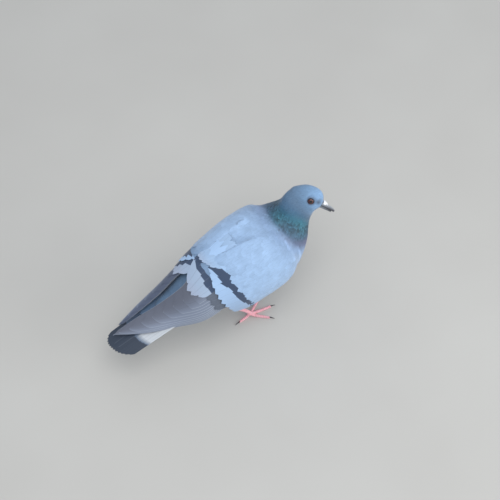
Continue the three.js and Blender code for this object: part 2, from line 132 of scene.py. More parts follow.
def grown_together(name, nodes, voxel, rounds, fill=0.0):
    """One closed smooth mesh over several of the frame's solids. fill is half the width of the creases
    that it bridges: the mesh swells by it, closes over them and shrinks back."""
    whole = bmesh.new()
    for name_of_node in nodes:
        whole.from_mesh(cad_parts[name_of_node].data)
    bmesh.ops.remove_doubles(whole, verts=whole.verts, dist=1e-6)
    mesh = bpy.data.meshes.new(name)
    whole.to_mesh(mesh)
    whole.free()
    piece = bpy.data.objects.new(name, mesh)
    scene.collection.objects.link(piece)
    for swell in ([0.0, fill, -fill] if fill else [0.0]):
        if swell:
            displace = piece.modifiers.new("swell", "DISPLACE")
            displace.mid_level = 0
            displace.strength = swell * MM
        if swell >= 0:
            remesh = piece.modifiers.new("remesh", "REMESH")
            remesh.mode = "VOXEL"
            remesh.voxel_size = voxel * MM
    smooth = piece.modifiers.new("smooth", "SMOOTH")
    smooth.factor = 0.5
    smooth.iterations = rounds
    piece.data = bpy.data.meshes.new_from_object(
        piece.evaluated_get(bpy.context.evaluated_depsgraph_get())
    )
    piece.modifiers.clear()
    piece.data.shade_smooth()
    return piece


def set_vertices(mesh, points):
    """Moves a mesh's points to places in millimetres."""
    mesh.vertices.foreach_set("co", (points * MM).astype(np.float32).ravel())
    mesh.update()


def set_colours(mesh, colours, name="Plumage"):
    """Stores a linear colour for each point, which the material reads."""
    attribute = mesh.attributes.new(name, "FLOAT_COLOR", "POINT")
    rgba = np.ones((len(colours), 4), np.float32)
    rgba[:, :3] = colours
    attribute.data.foreach_set("color", rgba.ravel())


def fixed(piece, material, slot, *nodes):
    """Gives a finished piece its material, and lets it stand for the frame's nodes."""
    piece.data.materials.clear()
    piece.data.materials.append(material)
    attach(piece, "root")
    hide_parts(*nodes)


def along(rows, share):
    """Values on a smooth curve through a table's rows, for shares 0 to 1 of the way down it."""
    rows = np.asarray(rows, float)
    span = np.clip(share, 0, 1) * (len(rows) - 1)
    first = np.minimum(span.astype(int), len(rows) - 2)
    f = (span - first)[..., None]
    a, b, c, d = (rows[np.clip(first + k, 0, len(rows) - 1)] for k in (-1, 0, 1, 2))
    return 0.5 * (2 * b + (c - a) * f + (2 * a - 5 * b + 4 * c - d) * f**2
                  + (3 * b - a - 3 * c + d) * f**3)


def curve_at(curve, at):
    """The value at a place along a row of (place, value) points, straight from one to the next."""
    return np.interp(at, [place for place, _ in curve], [value for _, value in curve])


def colour_at(stops, at):
    """The linear colours at places along a row of (place, sRGB colour) stops."""
    shades = np.array([rgb(colour) for _, colour in stops])
    return np.stack([np.interp(at, [place for place, _ in stops], shades[:, k]) for k in range(3)], 1)


def toward(colours, colour, share):
    """Colours taken a share of the way to another one."""
    return colours + (rgb(colour) - colours) * share[..., None]


def middle_of(name):
    """The middle of the box round one of the frame's nodes, in millimetres."""
    low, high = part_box(name)
    return np.array((low + high) / 2) / MM


def unit(vectors):
    """Each vector made one long."""
    return vectors / np.maximum(np.linalg.norm(vectors, axis=-1, keepdims=True), 1e-9)


# The line down the middle of the bird, from the tip of the bill to the tip of the tail. Every
# feather lies back along it.
eyes = {side: middle_of(f"eye_{side}") for side in ("right", "left")}
head_middle = (eyes["right"] + eyes["left"]) / 2
upper_bill_points, _ = vertices_of(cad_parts["bill_upper"].data)
bill_tip = upper_bill_points[np.linalg.norm(upper_bill_points - head_middle, axis=1).argmax()]
TRUNK_TO_SHOULDERS = (32, 0, 8)
tail_low, tail_high = (np.array(corner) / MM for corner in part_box("tail"))
SPINE = [
    bill_tip,
    head_middle,
    middle_of("neck"),
    middle_of("trunk") + TRUNK_TO_SHOULDERS,
    middle_of("trunk"),
    middle_of("rump"),
    np.array([tail_low[0], (tail_low[1] + tail_high[1]) / 2, tail_low[2]]),
]
SPINE_SHARES = np.linspace(0, 1, 90)
SPINE_POINTS = along(SPINE, SPINE_SHARES)
SPINE_WAYS = unit(np.gradient(SPINE_POINTS, axis=0))
SPINE_BLUR = 9  # how far the lie of one place carries on into the next


def lie(points):
    """How far along the bird each point is, from 0 at the bill to 1 at the tail, and the way back."""
    away = ((points[:, None] - SPINE_POINTS) ** 2).sum(-1)
    weight = np.exp((away.min(1, keepdims=True) - away) / (2 * SPINE_BLUR**2))
    weight /= weight.sum(1, keepdims=True)
    return weight @ SPINE_SHARES, weight @ SPINE_WAYS


# How far the coat lifts off the skin, along the bird.
COAT_DEPTH = [
    (0.00, 0.35), (0.12, 0.45), (0.20, 0.50), (0.30, 0.60), (0.42, 0.75), (0.60, 0.80), (0.85, 0.80),
    (1.00, 0.70),
]

# The colours along the bird: a slate head, a green and purple neck, a pale blue back and a darker
# rump. The same colours go on the skin and on the feathers that stand in it.
PLUMAGE = [
    (0.00, "#6f869f"), (0.13, "#89b0d9"), (0.17, "#7396b9"), (0.21, "#5c7a98"), (0.25, "#45698a"),
    (0.32, "#44687f"), (0.40, "#47657f"), (0.42, "#5b7593"), (0.435, "#7b92b2"), (0.455, "#8ba5c8"),
    (0.49, "#93aecf"), (0.60, "#9fbcde"), (0.74, "#9ebbdd"), (0.80, "#6c88a8"), (0.90, "#5d7794"),
    (1.00, "#556c86"),
]
BELLY = "#8fa3ba"
NECK_GREEN, NECK_PURPLE = "#4b98aa", "#7f7596"
GREEN_AT, GREEN_WIDE = 0.335, 0.07  # the shining bands, along the bird
PURPLE_AT, PURPLE_WIDE = 0.415, 0.022
MANTLE_LEAD = 0.08  # how much further ahead the mantle's colour starts on the nape
LORE, LORE_WIDE = "#303d4e", 3.2  # the dark patch of down between the eye and the bill
LORE_OUT, LORE_UP = 3.2, 1.8  # from midway between the eye and the cere


def waves(points, length, seed):
    """A smooth uneven value from 0 to 1 over a surface, with patches about one length across."""
    ways = unit(np.random.default_rng(seed).normal(size=(7, 3)))
    phases = np.random.default_rng(seed + 1).uniform(0, 2 * math.pi, 7)
    return 0.5 + 0.5 * np.sin(points @ ways.T * (2 * math.pi / length) + phases).mean(1) * 1.6


def band(share, middle, wide):
    """1 at the middle of a soft band, and fading away on both sides of it."""
    return np.exp(-(((share - middle) / wide) ** 2))


def plumage(points, normals):
    """The linear colour of the coat at each point."""
    share, _ = lie(points)
    upward = normals[:, 2]
    lead = MANTLE_LEAD * np.clip(upward - 0.5, 0, 0.5) * band(share, 0.41, 0.06)
    colour = colour_at(PLUMAGE, share + lead)
    under = np.clip(-upward * 1.3 - 0.15, 0, 1) * np.clip((share - 0.42) / 0.08, 0, 1)
    colour = toward(colour, BELLY, under)
    for eye in eyes.values():
        lore = (eye + middle_of("cere")) / 2 + unit(eye - head_middle) * LORE_OUT + (0, 0, LORE_UP)
        spot = band(np.linalg.norm(points - lore, axis=1), 0, LORE_WIDE)
        colour = toward(colour, LORE, 0.85 * spot)
    sideways = np.clip(np.abs(normals @ unit(eyes["left"] - eyes["right"])) * 1.5 - 0.35, 0, 1)
    green = band(share, GREEN_AT, GREEN_WIDE) * sideways * np.clip(waves(points, 30, 3) * 1.2, 0.25, 1)
    colour = toward(colour, NECK_GREEN, 0.65 * green)
    purple = band(share, PURPLE_AT, PURPLE_WIDE) * np.clip(normals[:, 0] * 1.5, 0, 1)
    colour = toward(colour, NECK_PURPLE, 0.6 * purple)
    # The body's sides, where they face neither up nor down, are made up to 14 % paler: painted light.
    painted_side_light = np.clip(1 - np.abs(upward) * 1.5, 0, 1) * np.clip((share - 0.42) / 0.04, 0, 1)
    return colour * (0.94 + 0.12 * waves(points, 13, 8) + 0.14 * painted_side_light)[:, None]


skin = grown_together("skin", SKIN_NODES, SKIN_VOXEL, SKIN_ROUNDS, SKIN_FILL)
skin_points, skin_normals = vertices_of(skin.data)
skin_share, _ = lie(skin_points)
skin_points -= skin_normals * curve_at(COAT_DEPTH, skin_share)[:, None]
set_vertices(skin.data, skin_points)
set_colours(skin.data, plumage(skin_points, skin_normals))

# Skin under short down: dull and soft, in the coat's own colours, with the down's fine mottling, so that
# it doesn't show as a gap where two feathers part. The mottling also makes it a little paler than the coat
# on the whole: painted light against the shade in those gaps.
skin_material, tree, surface = new_material("feathered_skin")
paint = node(tree, "ShaderNodeAttribute", {}, attribute_name="Plumage")
down = node(tree, "ShaderNodeTexNoise", {"Scale": 1 / (1.2 * MM), "Detail": 3.0})
shade = node(tree, "ShaderNodeMapRange", {0: down.outputs["Fac"], 3: 0.98, 4: 1.12})
dulled = node(tree, "ShaderNodeVectorMath", {0: paint.outputs["Color"], "Scale": shade.outputs[0]},
              operation="SCALE")
bump = node(tree, "ShaderNodeBump", {"Height": down.outputs["Fac"], "Distance": 0.4 * MM})
plug(surface, {"Base Color": dulled.outputs[0], "Normal": bump.outputs[0], "Roughness": 0.9})
fixed(skin, skin_material, "body_feathers", *SKIN_NODES)

# The unwrap of the skin, which gives each feather its own small place in the baked picture.
bpy.context.view_layer.objects.active = skin
skin.select_set(True)
bpy.ops.object.mode_set(mode="EDIT")
bpy.ops.mesh.select_all(action="SELECT")
bpy.ops.uv.smart_project(angle_limit=math.radians(70), island_margin=0.002)
bpy.ops.object.mode_set(mode="OBJECT")
skin.select_set(False)
skin.data.uv_layers.active.name = "OFBake"
skin_faces = np.array([polygon.vertices[:] for polygon in skin.data.polygons])
skin_uv = np.empty(len(skin.data.loops) * 2, np.float32)
skin.data.uv_layers["OFBake"].data.foreach_get("uv", skin_uv)
skin_uv = skin_uv.reshape(-1, 4, 2).mean(1)
skin_tree = BVHTree.FromPolygons(skin_points.tolist(), skin_faces.tolist())


def on_skin(points):
    """The nearest places on the skin, the way out there, and the faces they are on."""
    found = [skin_tree.find_nearest(point) for point in points.reshape(-1, 3).tolist()]
    places = np.array([f[0][:] for f in found])
    faces = np.array([f[2] for f in found])
    corners = skin_faces[faces]
    weight = 1 / (((skin_points[corners] - places[:, None]) ** 2).sum(-1) + 0.05)
    out = unit((skin_normals[corners] * weight[..., None]).sum(1))
    return places.reshape(points.shape), out.reshape(points.shape), faces


# ---- Eyes ----------------------------------------------------------------------------------------
# Each eye is a wet ball with a swollen clear front, a black pupil and an orange-red iris. It is held
# in a rim of bare dark skin, the lids, which lie on it with a fine beaded edge.
EYE_BULGE = 0.35
PUPIL, IRIS = 1.6, 3.0  # radii
LID_RINGS = [  # radius round the eye, how far out of the socket, half its width, half its thickness
    (3.25, 3.75, 0.40, 0.38),
    (4.25, 3.00, 1.10, 0.50),
]
LID_LONG = 1.06  # the opening is a little longer than high
LID_SADDLE = 0.18  # its corners lie that much nearer the head than its middle
LID_TURN, LID_TUBE = 72, 12  # points round each ring and round its section
LID_COLOURS = ["#2b2c35", "#6e86a3"]
EYE_COLOURS = [  # from the middle out, as shares of 10 mm
    (0.00, "#050405"), (PUPIL / 10, "#060405"), (PUPIL / 10 + 0.012, "#3c1410"), (0.215, "#682016"),
    (0.25, "#4c1812"), (IRIS / 10 - 0.012, "#2a0e0c"), (IRIS / 10 + 0.01, "#141013"), (0.5, "#120f12"),
]
head_left = unit(eyes["left"] - eyes["right"])
head_ahead = unit(bill_tip - head_middle)
head_up = unit(np.cross(head_ahead, head_left))
eye_radius = (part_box("eye_right")[1].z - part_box("eye_right")[0].z) / 2 / MM

# A wet cornea: clear and very smooth, so that it holds a small sharp light over the dark pupil and
# the streaky iris.
eye_material, tree, surface = new_material("wet_eyeball")
place = node(tree, "ShaderNodeUVMap", {}, uv_map="Iris")
centred = node(tree, "ShaderNodeVectorMath", {0: place.outputs[0], 1: (0.5, 0.5, 0)},
               operation="SUBTRACT")
radius = node(tree, "ShaderNodeVectorMath", {0: centred.outputs[0]}, operation="LENGTH")
streaks = node(tree, "ShaderNodeTexNoise", {"Vector": centred.outputs[0], "Scale": 60.0, "Detail": 2.0})
uneven = node(tree, "ShaderNodeMath", {0: streaks.outputs["Fac"], 1: 0.05, 2: -0.025},
              operation="MULTIPLY_ADD")
ring = node(tree, "ShaderNodeMath", {0: radius.outputs["Value"], 1: uneven.outputs[0]}, operation="ADD")
ramp = node(tree, "ShaderNodeValToRGB", {"Fac": ring.outputs[0]})
while len(ramp.color_ramp.elements) < len(EYE_COLOURS):
    ramp.color_ramp.elements.new(0.5)
for element, (stop, colour) in zip(ramp.color_ramp.elements, EYE_COLOURS):
    element.position = stop
    element.color = linear(colour)
plug(surface, {"Base Color": ramp.outputs["Color"], "Roughness": 0.12, "Coat Weight": 1.0,
               "Coat Roughness": 0.02, "IOR": 1.38})


def grained(name, grain, depth, detail, roughness, ior):
    """A material in the colours stored on its mesh, with a fine grain. grain is the spacing of its
    bumps and depth their height, both in millimetres."""
    material, tree, surface = new_material(name)
    paint = node(tree, "ShaderNodeAttribute", {}, attribute_name="Plumage")
    noise = node(tree, "ShaderNodeTexNoise", {"Scale": 1 / (grain * MM), "Detail": detail})
    bump = node(tree, "ShaderNodeBump", {"Height": noise.outputs["Fac"], "Distance": depth * MM})
    plug(surface, {"Base Color": paint.outputs["Color"], "Normal": bump.outputs[0],
                   "Roughness": roughness, "IOR": ior})
    return material


# Thin bare skin with fine folds, which gives a half-dull edge between the wet eye and the down.
lid_material = grained("bare_lid_skin", 0.5, 0.08, 2.0, 0.5, 1.5)


def mesh_of(name, points, faces):
    """A mesh object from points in millimetres and faces that all have as many corners."""
    mesh = bpy.data.meshes.new(name)
    mesh.vertices.add(len(points))
    mesh.vertices.foreach_set("co", (points * MM).astype(np.float32).ravel())
    mesh.loops.add(faces.size)
    mesh.loops.foreach_set("vertex_index", faces.astype(np.int32).ravel())
    mesh.polygons.add(len(faces))
    mesh.polygons.foreach_set("loop_start", np.arange(0, faces.size, faces.shape[1], dtype=np.int32))
    mesh.polygons.foreach_set("use_smooth", np.ones(len(faces), bool))
    mesh.update(calc_edges=True)
    piece = bpy.data.objects.new(name, mesh)
    scene.collection.objects.link(piece)
    return piece


def looped(rings, sides):
    """The faces of a ring of rings of points, closed both ways."""
    a = np.arange(rings)[:, None] * sides + np.arange(sides)
    b = np.roll(a, -1, axis=0)
    return np.stack([a, np.roll(a, -1, axis=1), np.roll(b, -1, axis=1), b], -1).reshape(-1, 4)


for side, middle in eyes.items():
    outward = head_left if side == "left" else -head_left
    ahead = unit(head_ahead - outward * (head_ahead @ outward))
    upward = np.cross(outward, ahead)
    ball = bmesh.new()
    bmesh.ops.create_uvsphere(ball, u_segments=48, v_segments=32, radius=1)
    local = np.array([vertex.co[:] for vertex in ball.verts])
    front = np.clip((local[:, 2] - 0.8) / 0.2, 0, 1)
    local *= (eye_radius + EYE_BULGE * front * (2 - front))[:, None]
    iris_map = ball.loops.layers.uv.new("Iris")
    for face in ball.faces:
        face.smooth = True
        for loop in face.loops:
            loop[iris_map].uv = local[loop.vert.index, :2] / 10 + 0.5
    for vertex, (x, y, z) in zip(ball.verts, local):
        vertex.co = (middle + ahead * x + upward * y + outward * z) * MM
    mesh = bpy.data.meshes.new(f"eyeball_{side}")
    ball.to_mesh(mesh)
    ball.free()
    eyeball = bpy.data.objects.new(f"eyeball_{side}", mesh)
    scene.collection.objects.link(eyeball)
    fixed(eyeball, eye_material, "eye", f"eye_{side}")

    turn = np.linspace(0, 2 * math.pi, LID_TURN, endpoint=False)[:, None]
    tube = np.linspace(0, 2 * math.pi, LID_TUBE, endpoint=False)[None, :]
    points, faces, colours = [], [], []
    for k, (far, high, wide, thick) in enumerate(LID_RINGS):
        beads = 1 + 0.12 * np.sin(turn * (30 - 8 * k)) ** 2
        reach = far + wide * np.cos(tube) * np.ones_like(turn)
        height = high + thick * np.sin(tube) * beads - LID_SADDLE * np.cos(2 * turn)
        points.append(
            (middle + ahead * (reach * np.cos(turn) * LID_LONG)[..., None]
             + upward * (reach * np.sin(turn))[..., None] + outward * height[..., None]).reshape(-1, 3)
        )
        faces.append(looped(LID_TURN, LID_TUBE) + k * LID_TURN * LID_TUBE)
        colours.append(np.tile(rgb(LID_COLOURS[k]), (LID_TURN * LID_TUBE, 1)))
    lids = mesh_of(f"lids_{side}", np.concatenate(points), np.concatenate(faces))
    set_colours(lids.data, np.concatenate(colours))
    fixed(lids, lid_material, "cere_skin")

# ---- Bill and cere -------------------------------------------------------------------------------
# The bill is two sheaths of grey horn, darker to the tip, with painted shade where the two face each other
# and a painted highlight along the top. Over its root sits the cere, a soft swelling in two lobes with a
# chalky white bloom, and under its front edge is the nostril.
HORN_COLOURS = [(0, "#8f969e"), (5, "#7f858d"), (12, "#5e6168"), (18, "#3f3f45")]  # from the cere out
HORN_BACK = 4  # how far behind the cere's middle the first of them is
# The pale grey of a painted highlight along the top of the upper sheath.
PAINTED_RIDGE_HIGHLIGHT = "#b4bac0"
HORN_SWELL = 0.32  # the two sheaths are that much fuller than their cores, so that the bill is shut
CERE_WHITE, CERE_GREY = "#f0f1f2", "#99a4b2"
GROOVE, GROOVE_WIDE = 0.5, 0.5  # depth and width of the line between the lobes
NOSTRIL_AHEAD, NOSTRIL_LONG = 2.6, 1.3  # from the cere's middle
NOSTRIL_ASIDE, NOSTRIL_WIDE = 2.9, 0.7
NOSTRIL_DEEP = 0.45

# Keratin horn, worn smooth: a soft long shine along the ridge, over faint lengthwise growth.
horn_material = grained("bill_horn", 0.8, 0.05, 4.0, 0.32, 1.54)
# Soft skin under powder down: quite dull and chalky, with a fine uneven surface.
cere_material = grained("chalky_cere", 0.35, 0.12, 3.0, 0.85, 1.5)

bill_root = middle_of("cere")
bill_way = unit(bill_tip - bill_root)
for name in ("bill_upper", "bill_lower"):
    horn = grown_together(f"{name}_horn", [name], 0.3, 6)
    points, normals = vertices_of(horn.data)
    colours = colour_at(HORN_COLOURS, (points - bill_root) @ bill_way + HORN_BACK)
    upward = normals @ head_up
    if name == "bill_upper":
        colours *= (1 - 0.5 * np.clip(-upward, 0, 1))[:, None]  # its underside is darker: painted shade along the mouth line
        # Its top is paler: a painted highlight along the ridge.
        colours = toward(colours, PAINTED_RIDGE_HIGHLIGHT, np.clip(upward * 1.6 - 0.9, 0, 1))
    else:
        # The lower sheath's top, under the upper one, is darker: painted shade.
        colours *= (1 - 0.5 * np.clip(upward, 0, 1))[:, None]
    set_vertices(horn.data, points + normals * HORN_SWELL)
    set_colours(horn.data, colours)
    fixed(horn, horn_material, "bill_horn", name)

cere = grown_together("cere_lobes", ["cere"], 0.25, 6)
points, normals = vertices_of(cere.data)
across = (points - bill_root) @ head_left
along_bill = (points - bill_root) @ bill_way
groove = band(across, 0, GROOVE_WIDE) * np.clip(normals @ head_up + 0.2, 0, 1)
nostril = (band(along_bill, NOSTRIL_AHEAD, NOSTRIL_LONG)
           * band(np.abs(across), NOSTRIL_ASIDE, NOSTRIL_WIDE))
set_vertices(cere.data, points - normals * (GROOVE * groove + NOSTRIL_DEEP * nostril)[:, None])
# The groove between the lobes is less white. The nostril's slit is darker still: painted shade in its
# hollow.
chalk = np.clip(1 - groove * 0.5 - nostril, 0, 1)[:, None]
set_colours(cere.data, rgb(CERE_GREY) * (1 - chalk) * (1 - 0.7 * nostril[:, None])
            + rgb(CERE_WHITE) * chalk)
fixed(cere, cere_material, "cere_skin", "cere")

# ---- Legs and toes -------------------------------------------------------------------------------
# Bare pink-red skin under the ankle, with a row of broad scutes down the front of the shank and along
# the top of each toe, and fine grooves between them. The claws are dark horn.
TOE_NAMES = ("inner", "middle", "outer", "hind")
SCUTE, SCUTE_DEPTH = 1.9, 0.24  # their spacing, and how deep the grooves between them are
SOLE = 0.02  # the lowest point of a toe over the floor
LEG_PINK, LEG_GROOVE = "#fab9c2", "#c4707d"
CLAW_BLACK, CLAW_GREY = "#3a363b", "#4b464a"

# Living skin over thin horny scales: it shines a little, and light goes a short way into it.
leg_material, tree, surface = new_material("scaly_leg_skin")
paint = node(tree, "ShaderNodeAttribute", {}, attribute_name="Plumage")
cells = node(tree, "ShaderNodeTexVoronoi", {"Scale": 1 / (0.7 * MM)}, feature="DISTANCE_TO_EDGE")
flakes = node(tree, "ShaderNodeMapRange", {0: cells.outputs["Distance"], 2: 0.12})
bump = node(tree, "ShaderNodeBump", {"Height": flakes.outputs[0], "Distance": 0.06 * MM,
                                     "Strength": 0.6})
plug(surface, {"Base Color": paint.outputs["Color"], "Normal": bump.outputs[0], "Roughness": 0.5,
               "Subsurface Weight": 0.1, "Subsurface Radius": (0.002, 0.0008, 0.0005)})

# Dense dark horn, smooth enough to shine, in cloudy greys.
claw_material, tree, surface = new_material("claw_horn")
streak = node(tree, "ShaderNodeTexNoise", {"Scale": 1 / (1.0 * MM), "Detail": 3.0})
shade = node(tree, "ShaderNodeMix", {0: streak.outputs["Fac"], 6: linear(CLAW_BLACK),
                                     7: linear(CLAW_GREY)}, data_type="RGBA")
plug(surface, {"Base Color": shade.outputs[2], "Roughness": 0.35})

for side in ("right", "left"):
    toes = [f"toe_{side}_{name}" for name in TOE_NAMES]
    leg = grown_together(f"leg_{side}", [f"shank_{side}", *toes], 0.35, 5)
    points, normals = vertices_of(leg.data)
    nearest = np.full(len(points), np.inf)
    run = np.zeros(len(points))  # how far each point is along its own bone
    top = np.zeros(len(points))  # how much it faces the side that the scutes are on
    for bone in [f"shank_{side}", *toes]:
        solid, _ = vertices_of(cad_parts[bone].data)
        centre = solid.mean(0)
        way = np.linalg.svd(solid - centre, full_matrices=False)[2][0]
        reach = np.abs((solid - centre) @ way).max()
        place = (points - centre) @ way
        off = np.linalg.norm(points - centre - np.clip(place, -reach, reach)[:, None] * way, axis=1)
        closer = off < nearest
        nearest[closer], run[closer] = off[closer], place[closer]
        facing = normals[:, 0] if bone.startswith("shank") else normals[:, 2]
        top[closer] = facing[closer]
    between = (np.abs((run / SCUTE) % 1 - 0.5) * 2) ** 5 * np.clip(top * 2 + 0.6, 0, 1)
    points -= normals * (between * SCUTE_DEPTH)[:, None]
    points[:, 2] = np.maximum(points[:, 2], SOLE)
    set_vertices(leg.data, points)
    set_colours(leg.data, toward(rgb(LEG_PINK), LEG_GROOVE, 0.8 * between))
    fixed(leg, leg_material, "leg_skin", f"shank_{side}", *toes)
    claw_nodes = [f"claw_{side}_{name}" for name in TOE_NAMES]
    claws = grown_together(f"claws_{side}", claw_nodes, 0.18, 4)
    fixed(claws, claw_material, "claw_horn", *claw_nodes)

# ---- Tail ----------------------------------------------------------------------------------------
# Twelve stiff tail feathers, closed into a narrow fan. The middle pair lies on top, and each other one
# a little under the one inside it. They are slate with a broad black band near the end, and the outer
# web of the outermost is white.
TAIL_FEATHERS = 12
TAIL_ROOT = np.array([-22.1, -2.4, 83.0])
TAIL_LENGTH, TAIL_SLOPE, TAIL_ARCH = 117, math.radians(-14.5), 3
TAIL_ROOT_WIDTH, TAIL_TIP_WIDTH = 47, 41
TAIL_ROUND, TAIL_LAG = 14, 5  # how much shorter the outer feathers are, and the left side
TAIL_FROM, TAIL_TO = 0.12, 0.995  # where the vanes begin and end, as shares of the tail's length
TAIL_VANE = 5.6  # half the width of one feather
TAIL_PITCH = 0.078  # from one feather to the next, as a share of the tail's width
TAIL_STEP = 0.3  # how far each feather lies under the one inside it
TAIL_THICK = 0.5
TAIL_BAND = 0.755  # where the black band begins, as a share of the tail's length
WEB_FROM = {"left": 0.08, "right": 0.62}  # from where to the edge each side is white
WEB_SOFT = 0.06
SLATE, SLATE_PALE, WEB_WHITE = "#50627a", "#6a7d96", "#c6ccd2"
BAR_DARK, BAND_DARK, WORN_PALE, QUILL_DARK = "#3d4e69", "#323d4d", "#cfd8e2", "#4a4f58"


def feather_material(name, roughness, barb, shaft, fringe, sheen=0.0, dark=BAR_DARK):
    """Vanes of keratin barbs. They run slantwise from the quill and give the feather its fine silky
    lines, drawn coarser than the real third of a millimetre so that they show. barb is the spacing
    drawn and shaft the quill's width, both in millimetres. fringe is how much paler the worn edge is,
    sheen the soft bloom of powder down, and dark the colour of a bar."""
    material, tree, surface = new_material(name)
    paint = node(tree, "ShaderNodeAttribute", {}, attribute_name="Plumage")
    vane = node(tree, "ShaderNodeAttribute", {}, attribute_name="Vane")
    marks = node(tree, "ShaderNodeAttribute", {}, attribute_name="Marks")
    vane_parts = node(tree, "ShaderNodeSeparateXYZ", {0: vane.outputs["Vector"]})
    mark_parts = node(tree, "ShaderNodeSeparateXYZ", {0: marks.outputs["Vector"]})
    off_shaft = node(tree, "ShaderNodeMath", {0: vane_parts.outputs["Y"]}, operation="ABSOLUTE")
    rise = node(tree, "ShaderNodeMath", {0: off_shaft.outputs[0], 1: -1.1, 2: vane_parts.outputs["X"]},
                operation="MULTIPLY_ADD")
    angle = node(tree, "ShaderNodeMath", {0: rise.outputs[0], 1: 2 * math.pi / barb}, operation="MULTIPLY")
    barbs = node(tree, "ShaderNodeMath", {0: angle.outputs[0]}, operation="SINE")
    bar = node(tree, "ShaderNodeMapRange", {0: mark_parts.outputs["X"], 1: -0.35, 2: 0.35})
    barred = node(tree, "ShaderNodeMix", {0: bar.outputs[0], 6: paint.outputs["Color"], 7: linear(dark)},
                  data_type="RGBA")
    edge = node(tree, "ShaderNodeMapRange", {0: mark_parts.outputs["Y"], 1: 0.0, 2: 0.9, 3: fringe, 4: 0.0})
    worn = node(tree, "ShaderNodeMix", {0: edge.outputs[0], 6: barred.outputs[2],
                                        7: linear(WORN_PALE)}, data_type="RGBA")
    quill = node(tree, "ShaderNodeMapRange", {0: off_shaft.outputs[0], 1: shaft / 2, 2: shaft,
                                              3: 0.22, 4: 0.0})
    quilled = node(tree, "ShaderNodeMix", {0: quill.outputs[0], 6: worn.outputs[2],
                                           7: linear(QUILL_DARK)}, data_type="RGBA")
    tone = node(tree, "ShaderNodeMapRange", {0: vane_parts.outputs["Z"], 3: 0.93, 4: 1.06})
    barb_tone = node(tree, "ShaderNodeMapRange", {0: barbs.outputs[0], 1: -1.0, 3: 0.96, 4: 1.03})
    tones = node(tree, "ShaderNodeMath", {0: tone.outputs[0], 1: barb_tone.outputs[0]},
                 operation="MULTIPLY")
    toned = node(tree, "ShaderNodeVectorMath", {0: quilled.outputs[2], "Scale": tones.outputs[0]},
                 operation="SCALE")
    bump = node(tree, "ShaderNodeBump", {"Height": barbs.outputs[0], "Distance": 0.03 * MM,
                                         "Strength": 0.5})
    plug(surface, {"Base Color": toned.outputs[0], "Normal": bump.outputs[0], "Roughness": roughness,
                   "Sheen Weight": sheen, "Sheen Roughness": 0.4, "IOR": 1.45})
    return material


def vane_steps(count, along_it, across_it):
    """Shares u along and v across a number of feathers, -1 to 1 across, closer together to the tip."""
    shape = (count, along_it, across_it)
    u = 1 - (1 - np.linspace(0, 1, along_it)) ** 1.5
    v = np.linspace(-1, 1, across_it)
    return np.broadcast_to(u[None, :, None], shape), np.broadcast_to(v[None, None, :], shape)


def vane_grid(long_steps, cross_steps):
    """The faces of one thin closed vane: its top points row by row, then its underside's inner ones."""
    wide = cross_steps + 1
    top = np.arange((long_steps + 1) * wide).reshape(long_steps + 1, wide)
    under = top.copy()
    under[1:-1, 1:-1] = top.size + np.arange((long_steps - 1) * (cross_steps - 1)).reshape(
        long_steps - 1, cross_steps - 1)
    faces = [np.stack([grid[:-1, :-1], grid[1:, :-1], grid[1:, 1:], grid[:-1, 1:]], -1).reshape(-1, 4)
             for grid in (top, under)]
    return np.concatenate([faces[0], faces[1][:, ::-1]])


# How far inside a dark bar counts as well inside, in millimetres, and as far outside with a minus.
INSIDE = 4.0


def outline(u, rounding):
    """Half the width of a feather along it, as a share: narrow at the quill, then a round tip."""
    body = 0.45 + 0.55 * np.sin(np.clip(u / 0.45, 0, 1) * math.pi / 2)
    tip = np.sqrt(np.clip(1 - np.clip((u - 1 + rounding) / (rounding * 1.04), 0, 1) ** 2, 0, 1))
    return body * tip


